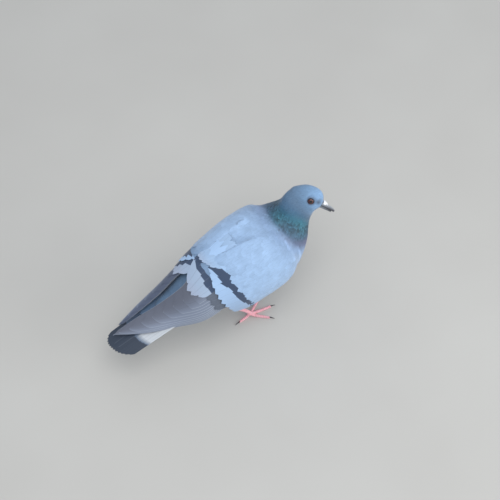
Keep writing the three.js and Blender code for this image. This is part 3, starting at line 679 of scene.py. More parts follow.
def vanes(name, points, normals, lengths, widths, tones, colours, bar, places, patch, thick=0.12,
          shaft=0.0, rounding=0.3, relief=0.6):
    """One mesh of many feathers. points, normals and colours are (feather, step along, step across),
    lengths and widths in millimetres, bar how far inside a dark bar each point is, and places and
    patch where each feather's patch is in the baked picture, and its size. shaft is where the quill
    lies across the feather, from -1 to 1. The light falls on a vane as on the soft surface it is part
    of, and by the share relief as on its own form, so that its thin edge doesn't glint."""
    count, rows, wide = points.shape[:3]
    grid = vane_grid(rows - 1, wide - 1)
    facing = unit(np.cross(np.gradient(points, axis=1), np.gradient(points, axis=2)))
    turned = (facing * normals).sum((1, 2, 3)) < 0
    facing[turned] *= -1
    under = (points - normals * thick)[:, 1:-1, 1:-1]
    every = np.concatenate([points.reshape(count, -1, 3), under.reshape(count, -1, 3)], 1)
    faces = grid[None] + (np.arange(count) * every.shape[1])[:, None, None]
    faces[turned] = faces[turned][..., ::-1]
    piece = mesh_of(name, every.reshape(-1, 3), faces.reshape(-1, 4))
    facing = unit(facing * relief + normals * (1 - relief))
    shown = np.concatenate([facing.reshape(count, -1, 3), -facing[:, 1:-1, 1:-1].reshape(count, -1, 3)], 1)
    piece.data.normals_split_custom_set_from_vertices(shown.reshape(-1, 3).astype(np.float32))

    def with_underside(values):
        inner = values[:, 1:-1, 1:-1]
        parts = [part.reshape(count, -1, values.shape[-1]) for part in (values, inner)]
        return np.concatenate(parts, 1).reshape(-1, values.shape[-1])

    u = np.broadcast_to(np.linspace(0, 1, rows)[None, :, None], (count, rows, wide))
    v = np.broadcast_to(np.linspace(-1, 1, wide)[None, None, :], (count, rows, wide))
    u_lengths = u * lengths[:, None, None]
    half = outline(u, rounding) * widths[:, None, None]
    vane = np.stack([u_lengths, (v - shaft) * half, np.broadcast_to(tones[:, None, None], u.shape)], -1)
    to_edge = np.minimum((1 - np.abs(v)) * half, (1 - u) * lengths[:, None, None])
    marks = np.stack([bar, to_edge, np.zeros_like(bar)], -1)
    for attribute_name, values in (("Vane", vane), ("Marks", marks)):
        attribute = piece.data.attributes.new(attribute_name, "FLOAT_VECTOR", "POINT")
        attribute.data.foreach_set("vector", with_underside(values).astype(np.float32).ravel())
    set_colours(piece.data, with_underside(colours))
    flat = np.stack([u, (v + 1) / 2], -1) * patch + places[:, None, None, :]
    baked = piece.data.uv_layers.new(name="OFBake")
    baked.data.foreach_set("uv", with_underside(flat)[faces.ravel()].astype(np.float32).ravel())
    return piece


def strips(count, columns):
    """Places and size for a sheet of long patches, one to each big feather."""
    rows = math.ceil(count / columns)
    cell = np.array([1 / columns, 1 / rows])
    k = np.arange(count)
    return np.stack([k % columns, k // columns], 1) * cell + cell * 0.06, cell * 0.88


def surface_way(place, s, t, step=0.004):
    """The way out of a surface given by two shares, and the millimetres that one share of t spans."""
    ahead = place(s + step, t) - place(s - step, t)
    aside = place(s, t + step) - place(s, t - step)
    return unit(np.cross(ahead, aside)), np.linalg.norm(aside, axis=-1, keepdims=True) / (2 * step)


def tail_place(s, t):
    """A point on the top of the closed tail. s runs to the tip and t from its left side to its right."""
    across = 1 - 2 * t  # from 1 at its left edge to -1 at its right
    width = TAIL_ROOT_WIDTH + (TAIL_TIP_WIDTH - TAIL_ROOT_WIDTH) * s
    early = TAIL_ROUND * np.abs(across) ** 2.6 - TAIL_LAG * across
    run = TAIL_LENGTH * s - early * np.maximum(s, 0) ** 3
    return TAIL_ROOT + np.stack([
        -run * math.cos(TAIL_SLOPE),
        across * width / 2,
        run * math.sin(TAIL_SLOPE) - TAIL_ARCH * across**2,
    ], -1)


off_middle = (np.arange(TAIL_FEATHERS) - (TAIL_FEATHERS - 1) / 2)[:, None, None]
outer = np.sign(off_middle)
tail_up = np.array([math.sin(TAIL_SLOPE), 0, math.cos(TAIL_SLOPE)])
u, v = vane_steps(TAIL_FEATHERS, 30, 9)
s = TAIL_FROM + (TAIL_TO - TAIL_FROM) * (u - 0.035 * v**2 * u**4)
half_share = TAIL_VANE / ((TAIL_ROOT_WIDTH + TAIL_TIP_WIDTH) / 2) * outline(u, 0.055)
t = np.clip(0.5 + off_middle * TAIL_PITCH + v * half_share, 0.02, 0.97)
points = tail_place(s, t)
out = np.broadcast_to(tail_up, points.shape)
drop = 0.25 + TAIL_STEP * (np.abs(off_middle) - 0.5) + 0.25 * outer * v - 0.35 * (1 - v**2)
points = points - out * drop[..., None]
colours = toward(rgb(SLATE), SLATE_PALE, 0.2 + 0.2 * outer * v)
right_web = np.clip((t - WEB_FROM["right"]) / WEB_SOFT + 0.5, 0, 1)
left_web = np.clip((WEB_FROM["left"] - t) / WEB_SOFT - 1.5, 0, 1)
web = np.maximum(right_web, left_web) * np.clip((TAIL_BAND - 0.01 - s) / 0.03, 0, 1)
colours = toward(colours, WEB_WHITE, web)
tone = np.random.default_rng(21).uniform(0.3, 0.7, TAIL_FEATHERS)
in_band = (s - TAIL_BAND - 0.012 * outer * v - 0.01 * (tone[:, None, None] - 0.5)) * TAIL_LENGTH
# Stiff glossy vanes, smoother than those of the body.
tail_material = feather_material("tail_vanes", 0.5, 1.1, 0.7, 0.10, dark=BAND_DARK)
places, patch = strips(TAIL_FEATHERS, 2)
tail = vanes("tail_feathers", points, out, np.full(TAIL_FEATHERS, TAIL_LENGTH * 0.88),
             np.full(TAIL_FEATHERS, TAIL_VANE), tone, colours, np.clip(in_band, -INSIDE, INSIDE),
             places, patch, thick=TAIL_THICK)
fixed(tail, tail_material, "tail_feathers", "tail")

# Upper tail coverts, soft slate feathers in rows over the quills. The row that is rooted furthest
# forward lies on top.
COVERT_ROWS = [  # where a row ends along the tail, and from where to where it reaches across
    (0.60, 0.05, 0.56),
    (0.50, 0.09, 0.60),
    (0.40, 0.05, 0.64),
]
COVERTS_IN_ROW = 6
TAIL_COVERT_FROM, TAIL_COVERT_WIDE = 0.10, 0.095  # where they are rooted, and half their width
COVERT_SLATE = "#5f7997"
count = len(COVERT_ROWS) * COVERTS_IN_ROW
ends = np.repeat([end for end, _, _ in COVERT_ROWS], COVERTS_IN_ROW)[:, None, None]
middles = np.concatenate([np.linspace(a, b, COVERTS_IN_ROW) for _, a, b in COVERT_ROWS])
u, v = vane_steps(count, 12, 7)
s = TAIL_COVERT_FROM + (ends - TAIL_COVERT_FROM) * (u - 0.03 * v**2 * u**4)
t = middles[:, None, None] + v * TAIL_COVERT_WIDE * outline(u, 0.25)
points = tail_place(s, t)
lift = 0.4 + np.arange(count)[:, None, None] // (2 * COVERTS_IN_ROW) + 0.3 * (1 - v**2)
out = np.broadcast_to(tail_up, points.shape)
points = points + out * lift[..., None]
tone = np.random.default_rng(22).uniform(0.3, 0.8, count)
colours = np.broadcast_to(rgb(COVERT_SLATE), points.shape) * (0.85 + 0.2 * u)[..., None]
places, patch = strips(count, 3)
tail_coverts = vanes("tail_coverts", points, out, np.full(count, 50.0), np.full(count, 4.0), tone,
                     colours, np.full(u.shape, -INSIDE), places, patch, relief=0.4)
# Loose soft vanes, duller than the tail's own and with a bloom.
tail_covert_material = feather_material("tail_covert_vanes", 0.65, 0.8, 0.3, 0.05, sheen=0.2)
fixed(tail_coverts, tail_covert_material, "tail_feathers")

# ---- Wings ---------------------------------------------------------------------------------------
# Each folded wing is a shell of overlapping feathers: broad greater coverts that carry the front black
# bar, the tertials and secondaries whose bases make the rear bar, and under them the long brown-grey
# primaries, stacked with their rounded tips one behind the other. The right wing lies over the left.
WING = [  # from the bend back: x, y, z of the upper edge, ahead of the tip, then of the lower edge, how
    # far each leans to the left, and how far the surface runs out of each before it bends
    (204, 23, 126, 215, 40.5, 85, 0, 0, 18, 26),
    (179, 13, 138.5, 197, 43, 68, 0, 0, 25, 40),
    (149, 9, 138.5, 173, 42.5, 60, 0, 0, 28, 42),
    (119, 5, 129, 147, 42, 60, 0, 0, 27, 36),
    (103, 3, 120, 121, 38.5, 62, 2, 0, 24, 30),
    (83, 7, 104, 90, 34.5, 64, 4, -1, 16, 20),
    (57, 5, 84, 62, 28.5, 65, 8, 2.5, 10, 11),
    (31, 3, 73, 31, 20, 65.5, 10.5, 5, 5, 5),
    (0, 2, 63.5, 0, 6, 61, 11.5, 12, 1, 1),
]
WING_TIP_X = -127.1  # where the right wing ends
WING_LONG = 230
LEFT_WING_SHORT, FLARE = 11, 0.25
LAP_REACH, LAP_SHARE, LAP_SPREAD = 5, 0.44, 0.08  # the right wing's edge reaches over the left one's


def wing_place(side):
    """The outside of one folded wing, as a place from shares s along it and t down over it."""
    def place(s, t):
        s, t = np.broadcast_arrays(np.asarray(s, float), np.asarray(t, float))
        row = along(WING, s)
        back_from = WING_TIP_X + (LEFT_WING_SHORT * np.clip(s, 0, 1) ** 4 if side > 0 else 0)
        upper = np.stack([row[..., 0] + back_from, side * row[..., 1] + row[..., 6], row[..., 2]], -1)
        lower = np.stack([row[..., 3] + back_from, side * row[..., 4] + row[..., 7], row[..., 5]], -1)
        over_top = upper + np.array([0, side, -0.1]) * row[..., 8:9]
        up_side = lower + np.array([0, side * FLARE, 1]) * row[..., 9:10]
        lap = (side < 0) * LAP_REACH * band(s, LAP_SHARE, LAP_SPREAD)
        edge = upper + np.array([0, 1, 0]) * lap[..., None]
        t = t[..., None]
        return ((1 - t) ** 3 * edge + 3 * (1 - t) ** 2 * t * over_top
                + 3 * (1 - t) * t**2 * up_side + t**3 * lower)
    return place


def straight(middles, wide):
    """The borders of feathers that are as wide all along, on both sides of their middles."""
    def borders(s, own):
        return (middles - wide)[own], (middles + wide)[own]
    return borders


def wing_vanes(name, side, root_s, tip_s, borders, drop_of, colour_of, rounding, seed,
               tilt=0.05, camber=0.06, steps=(26, 8), shaft=0.0, slant=0.0, relief=0.3):
    """A layer of one wing's feathers, from root_s to their ends tip_s. borders gives the upper and
    lower border of each as shares t, and drop_of how far it lies under the wing's outside. tilt and
    camber, in millimetres, sink its lower border and raise its middle. slant draws the tip down."""
    place = wing_place(side)
    count = len(tip_s)
    tone = np.random.default_rng(seed).uniform(0.3, 0.7, count)
    u, v = vane_steps(count, steps[0] + 1, steps[1] + 1)
    own = np.arange(count)[:, None, None]
    middle = root_s + (tip_s[:, None, None] - root_s) * u
    top, low = borders(middle, own)
    _, span = surface_way(place, middle, np.clip((top + low) / 2, 0.02, 0.98))
    half = (low - top) / 2 * span[..., 0]
    lengths = np.linalg.norm(np.diff(place(middle, (top + low) / 2)[:, :, 4], axis=1), axis=-1).sum(1)
    s = middle - 0.28 * half / WING_LONG * v**2 * u**8 + slant * v * u**6
    t = (top + low) / 2 + v * (low - top) / 2 * outline(u, rounding)
    points = place(s, t)
    out, _ = surface_way(place, s, np.clip(t, 0.02, 0.98))
    out = out * -side
    drop = drop_of(s, t, own) - camber * (1 - v**2) - tilt * v
    points = points - out * drop[..., None]
    colours, bar = colour_of(s, t, v, own)
    places, patch = strips(count, 2)
    return vanes(name, points, out, lengths, half[:, steps[0] // 2, steps[1] // 2], tone, colours,
                 np.clip(bar, -INSIDE, INSIDE), places, patch, shaft=shaft, relief=relief)


# Where the feathers of each layer end and where the bars begin and end, along each wing for shares t
# down over it. The two wings are not folded quite alike.
SCAPULAR_END = {
    "right": ((-0.06, 0.425), (0.0, 0.430), (0.05, 0.410), (0.10, 0.402), (0.14, 0.390), (0.19, 0.352)),
    "left": ((-0.06, 0.420), (0.0, 0.405), (0.05, 0.398), (0.10, 0.392), (0.19, 0.380)),
}
FRONT_BAR_START = {
    "right": ((0.10, 0.375), (0.16, 0.352), (0.30, 0.355), (0.40, 0.365), (0.50, 0.375), (0.66, 0.384),
              (0.77, 0.384), (0.93, 0.357), (1.00, 0.350)),
    "left": ((0.00, 0.385), (0.10, 0.402), (0.32, 0.462), (0.50, 0.460), (0.75, 0.430), (1.00, 0.390)),
}
FRONT_BAR_END = {
    "right": ((0.10, 0.430), (0.14, 0.425), (0.18, 0.405), (0.27, 0.412), (0.38, 0.434), (0.47, 0.418),
              (0.63, 0.428), (0.78, 0.420), (0.92, 0.390), (1.00, 0.372)),
    "left": ((0.00, 0.475), (0.04, 0.462), (0.08, 0.455), (0.15, 0.466), (0.26, 0.508), (0.35, 0.530),
             (0.50, 0.530), (0.75, 0.490), (1.00, 0.440)),
}
COVERT_END = {
    "right": ((0.00, 0.385), (0.11, 0.398), (0.21, 0.438), (0.30, 0.468), (0.36, 0.488), (0.44, 0.504),
              (0.55, 0.514), (0.70, 0.516), (0.84, 0.502), (1.00, 0.475)),
    "left": ((0.00, 0.450), (0.04, 0.462), (0.14, 0.490), (0.23, 0.538), (0.35, 0.565), (0.50, 0.570),
             (0.80, 0.555), (1.00, 0.520)),
}
REAR_BAR_END = {
    "right": ((0.00, 0.466), (0.04, 0.494), (0.12, 0.497), (0.20, 0.508), (0.29, 0.526), (0.36, 0.520),
              (0.42, 0.528), (0.47, 0.512), (0.60, 0.510)),
    "left": ((0.00, 0.500), (0.05, 0.525), (0.16, 0.560), (0.27, 0.590), (0.50, 0.605), (1.00, 0.580)),
}
SECONDARY_END = {
    "right": ((0.02, 0.580), (0.07, 0.604), (0.12, 0.614), (0.23, 0.614), (0.29, 0.606), (0.36, 0.588),
              (0.45, 0.564), (0.56, 0.560), (0.71, 0.564), (0.85, 0.540)),
    "left": ((0.00, 0.590), (0.05, 0.605), (0.11, 0.630), (0.21, 0.632), (0.27, 0.618), (0.45, 0.600),
             (0.85, 0.570)),
}
PRIMARY_ENDS = np.array([0.610, 0.655, 0.705, 0.755, 0.810, 0.865, 0.915, 0.955, 0.980, 0.999])

# How the layers lie: where each is rooted, where its feathers are across the wing and half their
# widths. The scapulars are in two rows, the second a little shorter and on top.
SCAPULAR_ROW = 6
SCAPULAR_T = np.concatenate([
    np.linspace(-0.07, 0.16, SCAPULAR_ROW),
    np.linspace(-0.05, 0.15, SCAPULAR_ROW),
])
SCAPULAR_SHORTER = np.repeat([0.0, 0.028], SCAPULAR_ROW)
SCAPULAR_WIDE = 0.042
COVERT_T = np.linspace(0.0, 0.97, 11)
COVERT_WIDE = 0.085
SECONDARY_T = np.array([0.04, 0.15, 0.26, 0.37, 0.50, 0.62, 0.74])  # four tertials, then secondaries
SECONDARY_WIDE = np.array([0.11, 0.10, 0.095, 0.085, 0.09, 0.09, 0.09])
TERTIALS = 4
PRIMARY_SPREAD = 0.58  # from here back the primaries' lower borders leave each other
SCAPULAR_FROM, COVERT_FROM, SECONDARY_FROM, PRIMARY_FROM = 0.24, 0.26, 0.34, 0.44
COVERT_UNDER, SECONDARY_UNDER, PRIMARY_UNDER = 0.5, 1.25, 2.45  # how deep each layer lies
SECONDARY_STEP, PRIMARY_STEP = 0.12, 0.32  # how far each feather lies under the one above it

PALE_WING, WING_GREY, MANTLE = "#a9c8ec", "#9db6d6", "#a2bfe0"
TERTIAL, TERTIAL_END, LOWER_BAR = "#a5b8d0", "#a9b6cd", "#616a79"
# The left wing's primaries are darker and bluer than the right's: painted shade where they lie under the
# right wing.
BROWN, BROWN_PALE = {"right": "#606573", "left": "#545e74"}, "#8994a8"
# Soft dull vanes with a faint bloom and hardly a quill to be seen.
covert_vanes = feather_material("wing_covert_vanes", 0.62, 0.9, 0.2, 0.0, sheen=0.15)
# Firm vanes with a thin dark quill and a slightly worn edge.
flight_vanes = feather_material("flight_vanes", 0.5, 1.0, 0.4, 0.10)
# The same, with the pale worn edges that draw the line of each stacked tip.
primary_vanes = feather_material("primary_vanes", 0.5, 1.0, 0.4, 0.34)

for side, name in ((-1, "right"), (1, "left")):
    uneven = np.random.default_rng(40).uniform(-1, 1, (3, 24))

    # Scapulars, which lie over the wing's upper edge and dive under the coat of the back.
    def scapular_drop(s, t, own):
        dive = np.clip(0.8 - (s - 0.35) * 24, -0.2, 1.6)
        return dive - 0.15 * (own // SCAPULAR_ROW) + 10 * np.clip(-0.02 - t, 0, 0.2)

    def scapular_colour(s, t, v, own):
        grey = np.clip(s * 12 - 4.4, 0, 0.8)
        return toward(rgb(MANTLE), TERTIAL_END, grey), np.full(s.shape, -INSIDE)

    ends_at = curve_at(SCAPULAR_END[name], SCAPULAR_T) - SCAPULAR_SHORTER
    scapulars = wing_vanes(f"scapulars_{name}", side, SCAPULAR_FROM, ends_at,
                           straight(SCAPULAR_T, SCAPULAR_WIDE), scapular_drop, scapular_colour, 0.30, 47)
    fixed(scapulars, covert_vanes, "wing_coverts")

    # Greater coverts, with the front bar across them.
    def covert_drop(s, t, own):
        return COVERT_UNDER + np.clip((0.37 - s) * 12, 0, 2)

    def covert_colour(s, t, v, own):
        at = 0.55 * COVERT_T[own] + 0.45 * t
        front = curve_at(FRONT_BAR_START[name], at) + 0.004 * uneven[0, own] - 0.002 * v
        rear = curve_at(FRONT_BAR_END[name], at) + 0.005 * uneven[1, own] - 0.003 * v
        colours = toward(rgb(PALE_WING), WING_GREY, np.clip(t * 1.2 - 0.5, 0, 1))
        return colours, np.minimum(s - front, rear - s) * WING_LONG

    ends_at = curve_at(COVERT_END[name], COVERT_T)
    greater = wing_vanes(f"greater_coverts_{name}", side, COVERT_FROM, ends_at,
                         straight(COVERT_T, COVERT_WIDE), covert_drop, covert_colour, 0.15, 41)
    fixed(greater, covert_vanes, "wing_coverts")

    # Tertials, whose dark bases make the rear bar, and the secondaries' dull grey edges under them.
    def secondary_drop(s, t, own):
        return SECONDARY_UNDER + SECONDARY_STEP * own

    def secondary_colour(s, t, v, own):
        at = 0.5 * SECONDARY_T[own] + 0.5 * t
        rear = curve_at(REAR_BAR_END[name], at) + 0.004 * uneven[1, own] - 0.003 * v
        tertial = toward(rgb(TERTIAL), TERTIAL_END, np.clip((s - 0.55) / 0.05, 0, 1))
        colours = np.where(own[..., None] < TERTIALS, tertial, rgb(LOWER_BAR))
        return colours, np.where(own < TERTIALS, (rear - s) * WING_LONG, -INSIDE)

    ends_at = curve_at(SECONDARY_END[name], SECONDARY_T)
    secondaries = wing_vanes(f"secondaries_{name}", side, SECONDARY_FROM, ends_at,
                             straight(SECONDARY_T, SECONDARY_WIDE), secondary_drop, secondary_colour,
                             0.17, 43, shaft=0.15)
    fixed(secondaries, flight_vanes, "flight_feathers", f"wing_{name}_secondaries")

    # Primaries, whose tips come out from under each other one by one.
    fan = np.arange(len(PRIMARY_ENDS)) / (len(PRIMARY_ENDS) - 1)

    def primary_low(s, own):
        gone = np.clip((s - PRIMARY_SPREAD) / (PRIMARY_ENDS[own] - PRIMARY_SPREAD), 0, 1) ** 2
        return 0.50 + 0.50 * fan[own] * (1 - gone * (1 - fan[own]) ** 0.5)

    def primary_borders(s, own):
        top = -0.01 + (0.04 if name == "left" else 0) * np.clip((s - 0.5) / 0.1, 0, 1)
        return top, primary_low(s, own)

    def primary_drop(s, t, own):
        over = np.zeros(s.shape)
        for k in range(len(PRIMARY_ENDS) - 1):
            present = np.clip((PRIMARY_ENDS[k] + 0.02 - s) / 0.02, 0, 1)
            cover = np.clip((primary_low(s, k) + 0.06 - t) / 0.06, 0, 1)
            over += np.where(own > k, present * cover, 0)
        return PRIMARY_UNDER + PRIMARY_STEP * over

    # Each primary is paler toward its open lower edge and darker where it comes out from under the one
    # above, which is painted shade; all are a little paler lower down the wing.
    def primary_colour(s, t, v, own):
        pale = np.clip(0.15 + 0.85 * v, 0, 1) ** 2 * 0.7 + 0.15 * np.clip(t, 0, 1)
        return toward(rgb(BROWN[name]), BROWN_PALE, pale), np.full(s.shape, -INSIDE)

    primaries = wing_vanes(f"primaries_{name}", side, PRIMARY_FROM, PRIMARY_ENDS, primary_borders,
                           primary_drop, primary_colour, 0.055, 45, tilt=0.1, camber=0.12,
                           steps=(48, 12), shaft=0.5, slant=0.018, relief=0.6)
    fixed(primaries, primary_vanes, "flight_feathers", f"wing_{name}_primaries")

# ---- Contour feathers ----------------------------------------------------------------------------
# The coat of small soft feathers, each rooted in the skin and lying back over the next, like tiles.
# They are smallest on the face and longest on the mantle, and those of the neck shine.
SPACING = [  # how far apart the roots are, along the bird
    (0.00, 0.80), (0.10, 0.85), (0.16, 1.05), (0.24, 1.20), (0.32, 1.60), (0.40, 2.10), (0.46, 3.20),
    (0.70, 3.80), (0.80, 4.20), (1.00, 4.20),
]
THIGH_SPACING = 2.4
THIGH_WAY = np.array([-0.45, 0, -0.9])  # how the feathers of the thigh lie
ROOT_UNDER = 0.15  # how deep the root of a feather is in the skin
ROUNDED = 0.03  # how far a feather's sides bend down, as a share of half its width
PATCH = 0.003  # how wide a feather's patch is on the skin's unwrap
COAT_SEED = 11
RUMP = "#64809e"
HEAD_TO, NECK_TO = 0.255, 0.43  # where the coats of the head and the neck end, along the bird
ANKLE, KNEE = (-7, 0, 12), (6, 0, 8)  # from the middles of the shank and the thigh
THIGH_REACH, THIGH_SOFT = 17, 6  # how far round the bone the thigh's feathers reach, and fade out
THIGH_TOP, THIGH_FADE = 64, 10  # how high over the floor they do
RELIEF = 0.35  # how much of a small feather's own form the light shows
BARE_EYE, BARE_BILL = 3.5, 5.0  # no feather grows within so far of the eye's middle or the cere's


def leg_share(points):
    """How much each point belongs to the feathered thighs, from 0 to 1."""
    share = np.zeros(len(points))
    for side in ("right", "left"):
        ankle = middle_of(f"shank_{side}") + ANKLE
        way = middle_of(f"thigh_{side}") + KNEE - ankle
        on = np.clip(((points - ankle) @ way) / (way @ way), 0, 1)[:, None]
        away = np.linalg.norm(points - ankle - on * way, axis=1)
        low = np.clip((THIGH_TOP - points[:, 2]) / THIGH_FADE, 0, 1)
        share = np.maximum(share, np.clip((THIGH_REACH - away) / THIGH_SOFT, 0, 1) * low)
    return share


def scattered(spacing_of, grows_at, seed):
    """Roots spread evenly over the skin, the faces they stand on, and the spacing at each."""
    rng = np.random.default_rng(seed)
    corners = skin_points[skin_faces]
    a, b = corners[:, 1] - corners[:, 0], corners[:, 3] - corners[:, 0]
    area = np.linalg.norm(np.cross(a, b), axis=1)
    middles = corners.mean(1)
    spacing = spacing_of(middles)
    wanted = np.where(grows_at(middles), area / spacing**2, 0) * 5  # more than there is room for
    number = rng.poisson(wanted)
    faces = np.repeat(np.arange(len(number)), number)
    p, q = rng.uniform(size=(2, len(faces), 1))
    c = corners[faces]
    places = (c[:, 0] * (1 - p) * (1 - q) + c[:, 1] * p * (1 - q)
              + c[:, 2] * p * q + c[:, 3] * (1 - p) * q)
    gaps = spacing[faces]
    tree = KDTree(len(places))
    for k, place in enumerate(places.tolist()):
        tree.insert(place, k)
    tree.balance()
    free = np.ones(len(places), bool)
    kept = []
    for k in range(len(places)):
        if free[k]:
            kept.append(k)
            for _, near, _ in tree.find_range(places[k], gaps[k]):
                free[near] = False
    return places[kept], faces[kept], gaps[kept]


def contour(name, roots, faces, gaps, material, slot, steps, size, seed, colour_of):
    """One piece of the coat, from its feathers' roots. size is a feather's length and half its width, as
    many times as far as the roots are apart."""
    rng = np.random.default_rng(seed)
    count = len(roots)
    u, v = vane_steps(count, steps[0] + 1, steps[1] + 1)
    tip_middle = (slice(None), -1, steps[1] // 2)
    _, out, _ = on_skin(roots)
    share, way = lie(roots)
    on_leg = leg_share(roots)[:, None]
    way = way * (1 - on_leg) + THIGH_WAY * on_leg
    way = unit(way - out * (way * out).sum(1, keepdims=True))
    across = np.cross(out, way)
    yaw = rng.normal(0, math.radians(5), (count, 1))
    way, across = way * np.cos(yaw) + across * np.sin(yaw), across * np.cos(yaw) - way * np.sin(yaw)
    length = gaps * size[0] * rng.uniform(0.92, 1.08, count)
    width = gaps * size[1] * rng.uniform(0.92, 1.08, count)
    uneven = rng.normal(0, 0.008, u.shape) * (u > 0.99)
    for trial in range(3):  # a feather that would fold into a crease is made smaller
        run = length[:, None, None] * (u - 0.07 * v**2 * u**2 + uneven)
        reach = width[:, None, None] * v * outline(u, 0.4)
        flat = (roots[:, None, None] + way[:, None, None] * run[..., None]
                + across[:, None, None] * reach[..., None])
        places, normals, _ = on_skin(flat)
        reached = np.linalg.norm(places[tip_middle] - places[:, 0, steps[1] // 2], axis=-1)
        lying = unit(np.cross(np.gradient(places, axis=1), np.gradient(places, axis=2)))
        level = (lying * normals).sum(-1)[:, 1:-2, 1:-1].min((1, 2))
        flat_lying = (reached > 0.75 * length) & (level > 0.4)
        length = np.where(flat_lying | (trial == 2), length, length * 0.65)
        width = np.where(flat_lying | (trial == 2), width, width * 0.75)
    flat_lying = (reached > 0.6 * length) & (level > 0.1)
    away, s, t, left = on_wing(places[tip_middle])
    flat_lying &= (away > 6) | (t < 0.06) | (s < np.where(left, *TIPS_END))
    depth = curve_at(COAT_DEPTH, share) * rng.uniform(0.90, 1.02, count)
    rise = 0.70 * (1 - (1 - np.minimum(u / 0.28, 1)) ** 2) + 0.30 * u
    height = -ROOT_UNDER + (depth[:, None, None] + ROOT_UNDER) * rise
    height = height - ROUNDED * width[:, None, None] * v**2 * np.minimum(1, 4 * u)
    points = places + normals * height[..., None]
    tones = rng.uniform(0, 1, count)
    colours = colour_of(roots, out, flat.reshape(-1, 3), normals.reshape(-1, 3), u, v, tones, rng)
    where = skin_uv[faces] - PATCH / 2
    unmarked = np.full(u.shape, -INSIDE)
    parts = (points, normals, length, width, tones, colours, unmarked, where)
    coat = vanes(name, *(part[flat_lying] for part in parts), np.array([PATCH, PATCH]),
                 thick=0.06 * gaps.mean() ** 0.5, rounding=0.4, relief=RELIEF)
    fixed(coat, material, slot)


# Where the folded wing's bend stands out of the breast: a row of pale edges with shade in front.
BEND_LINES = [  # on the right side
    [(75.3, -26.7, 125.4), (75.9, -31.8, 121.4), (76.9, -36.5, 116.7), (77.4, -39.8, 112.4),
     (78.6, -42.3, 104.6)],
    [(87.5, -31.5, 109.5), (89.3, -34.3, 103.0), (90.0, -36.0, 92.6)],
]


def edged(points):
    """How much paler or darker the coat is along the bend of either wing."""
    either = points * [1, -1, 1] * np.where(points[:, 1:2] > 0, [1, 1, 1], [1, -1, 1])
    tone = np.ones(len(points))
    for line in BEND_LINES:
        for ahead, change, wide in ((0, 0.30, 1.7), (3.4, -0.32, 1.3)):
            on_line = along(line, np.linspace(0, 1, 24)) + (ahead, 0, 0)
            away = np.linalg.norm(either[:, None] - on_line, axis=-1).min(1)
            tone += change * band(away, 0, wide)
    return tone


def coat_colour(roots, out, points, normals, u, v, tones, rng):
    """The plumage's colours with their painted light and shade, a little paler along each feather's end."""
    colours = plumage(points, normals).reshape(*u.shape, 3)
    rump = between_wings(roots, out)[:, None, None, None]
    colours = np.where(rump, rgb(RUMP), colours) * edged(points).reshape(*u.shape, 1)
    return colours * (0.96 + 0.06 * u**3)[..., None]


def neck_colour(roots, out, points, normals, u, v, tones, rng):
    """Dark at the base of each feather and dark all over here and there, and shining at its end."""
    colours = plumage(points, normals).reshape(*u.shape, 3)
    share, _ = lie(roots)
    on_neck = band(share, 0.33, 0.045)[:, None, None]
    dark = 1 - 0.62 * rng.uniform(0, 1, (len(roots), 1, 1)) ** 1.5 * on_neck
    shine = 0.36 * rng.uniform(0, 1, (len(roots), 1, 1)) ** 2 * on_neck * np.clip(u * 1.6 - 0.5, 0, 1)
    base = 1 - 0.35 * on_neck * (1 - u)
    speck = 1 - 0.25 * on_neck * (waves(points, 3.0, 17).reshape(u.shape) > 0.6)
    edge = edged(points).reshape(u.shape)
    return colours * (dark * base * speck * edge * (1 + 1.2 * shine))[..., None]


# Along each wing no small covert grows past these shares s, and none reaches past the last ones.
WING_BORDER = {
    "right": ((-0.20, 0.345), (0.05, 0.340), (0.12, 0.322), (0.17, 0.298), (0.30, 0.300), (0.50, 0.318),
              (0.66, 0.326), (0.77, 0.326), (0.93, 0.302), (1.20, 0.295)),
    "left": ((-0.20, 0.340), (0.00, 0.338), (0.24, 0.400), (0.50, 0.398), (0.75, 0.375), (1.20, 0.335)),
}
TIPS_END = (0.45, 0.405)  # on the left and on the right
RUMP_FROM, RUMP_OVER = 0.47, 60  # the rump starts at this share of the wings, over this height
s_grid, t_grid = np.meshgrid(np.linspace(0, 0.62, 63), np.linspace(0, 1, 41), indexing="ij")
wing_grid = np.concatenate([wing_place(side)(s_grid, t_grid) for side in (-1, 1)]).reshape(-1, 3)
wing_tree = KDTree(len(wing_grid))
for k, point in enumerate(wing_grid.tolist()):
    wing_tree.insert(point, k)
wing_tree.balance()


def on_wing(points):
    """How far each point is from a wing's outside, and its shares s and t and side there."""
    found = [wing_tree.find(point) for point in points.tolist()]
    near = np.array([f[1] for f in found])
    away = np.array([f[2] for f in found])
    left = near >= s_grid.size
    near = near % s_grid.size
    return away, s_grid.ravel()[near], t_grid.ravel()[near], left


def between_wings(points, out):
    """Whether each point is on the rump, inside the wings' upper edges."""
    away, s, t, _ = on_wing(points)
    over = (out[:, 2] > 0) & (points[:, 2] > RUMP_OVER)
    return over & (s > RUMP_FROM) & (away > np.where(t < 0.04, 1.8, 8))


def coat_spacing(points):
    """How far apart the roots are at each point."""
    share, _ = lie(points)
    on_leg = leg_share(points)
    return curve_at(SPACING, share) * (1 - on_leg) + THIGH_SPACING * on_leg


def grows(points):
    """Where small feathers grow: not round the eyes or the bill, nor under the big wing feathers."""
    away, s, t, left = on_wing(points)
    border = np.where(left, curve_at(WING_BORDER["left"], t), curve_at(WING_BORDER["right"], t))
    _, out, _ = on_skin(points)
    free = (away > np.where(out[:, 2] > 0.1, 10, 5)) | (s < border)
    free |= between_wings(points, out)
    for side, middle in eyes.items():
        outward = head_left if side == "left" else -head_left
        level = (points - middle) @ outward
        round_eye = np.linalg.norm(points - middle - level[:, None] * outward, axis=1)
        free &= ~((round_eye < BARE_EYE) & (level > 0))
    return free & (np.linalg.norm(points - bill_root, axis=1) > BARE_BILL)


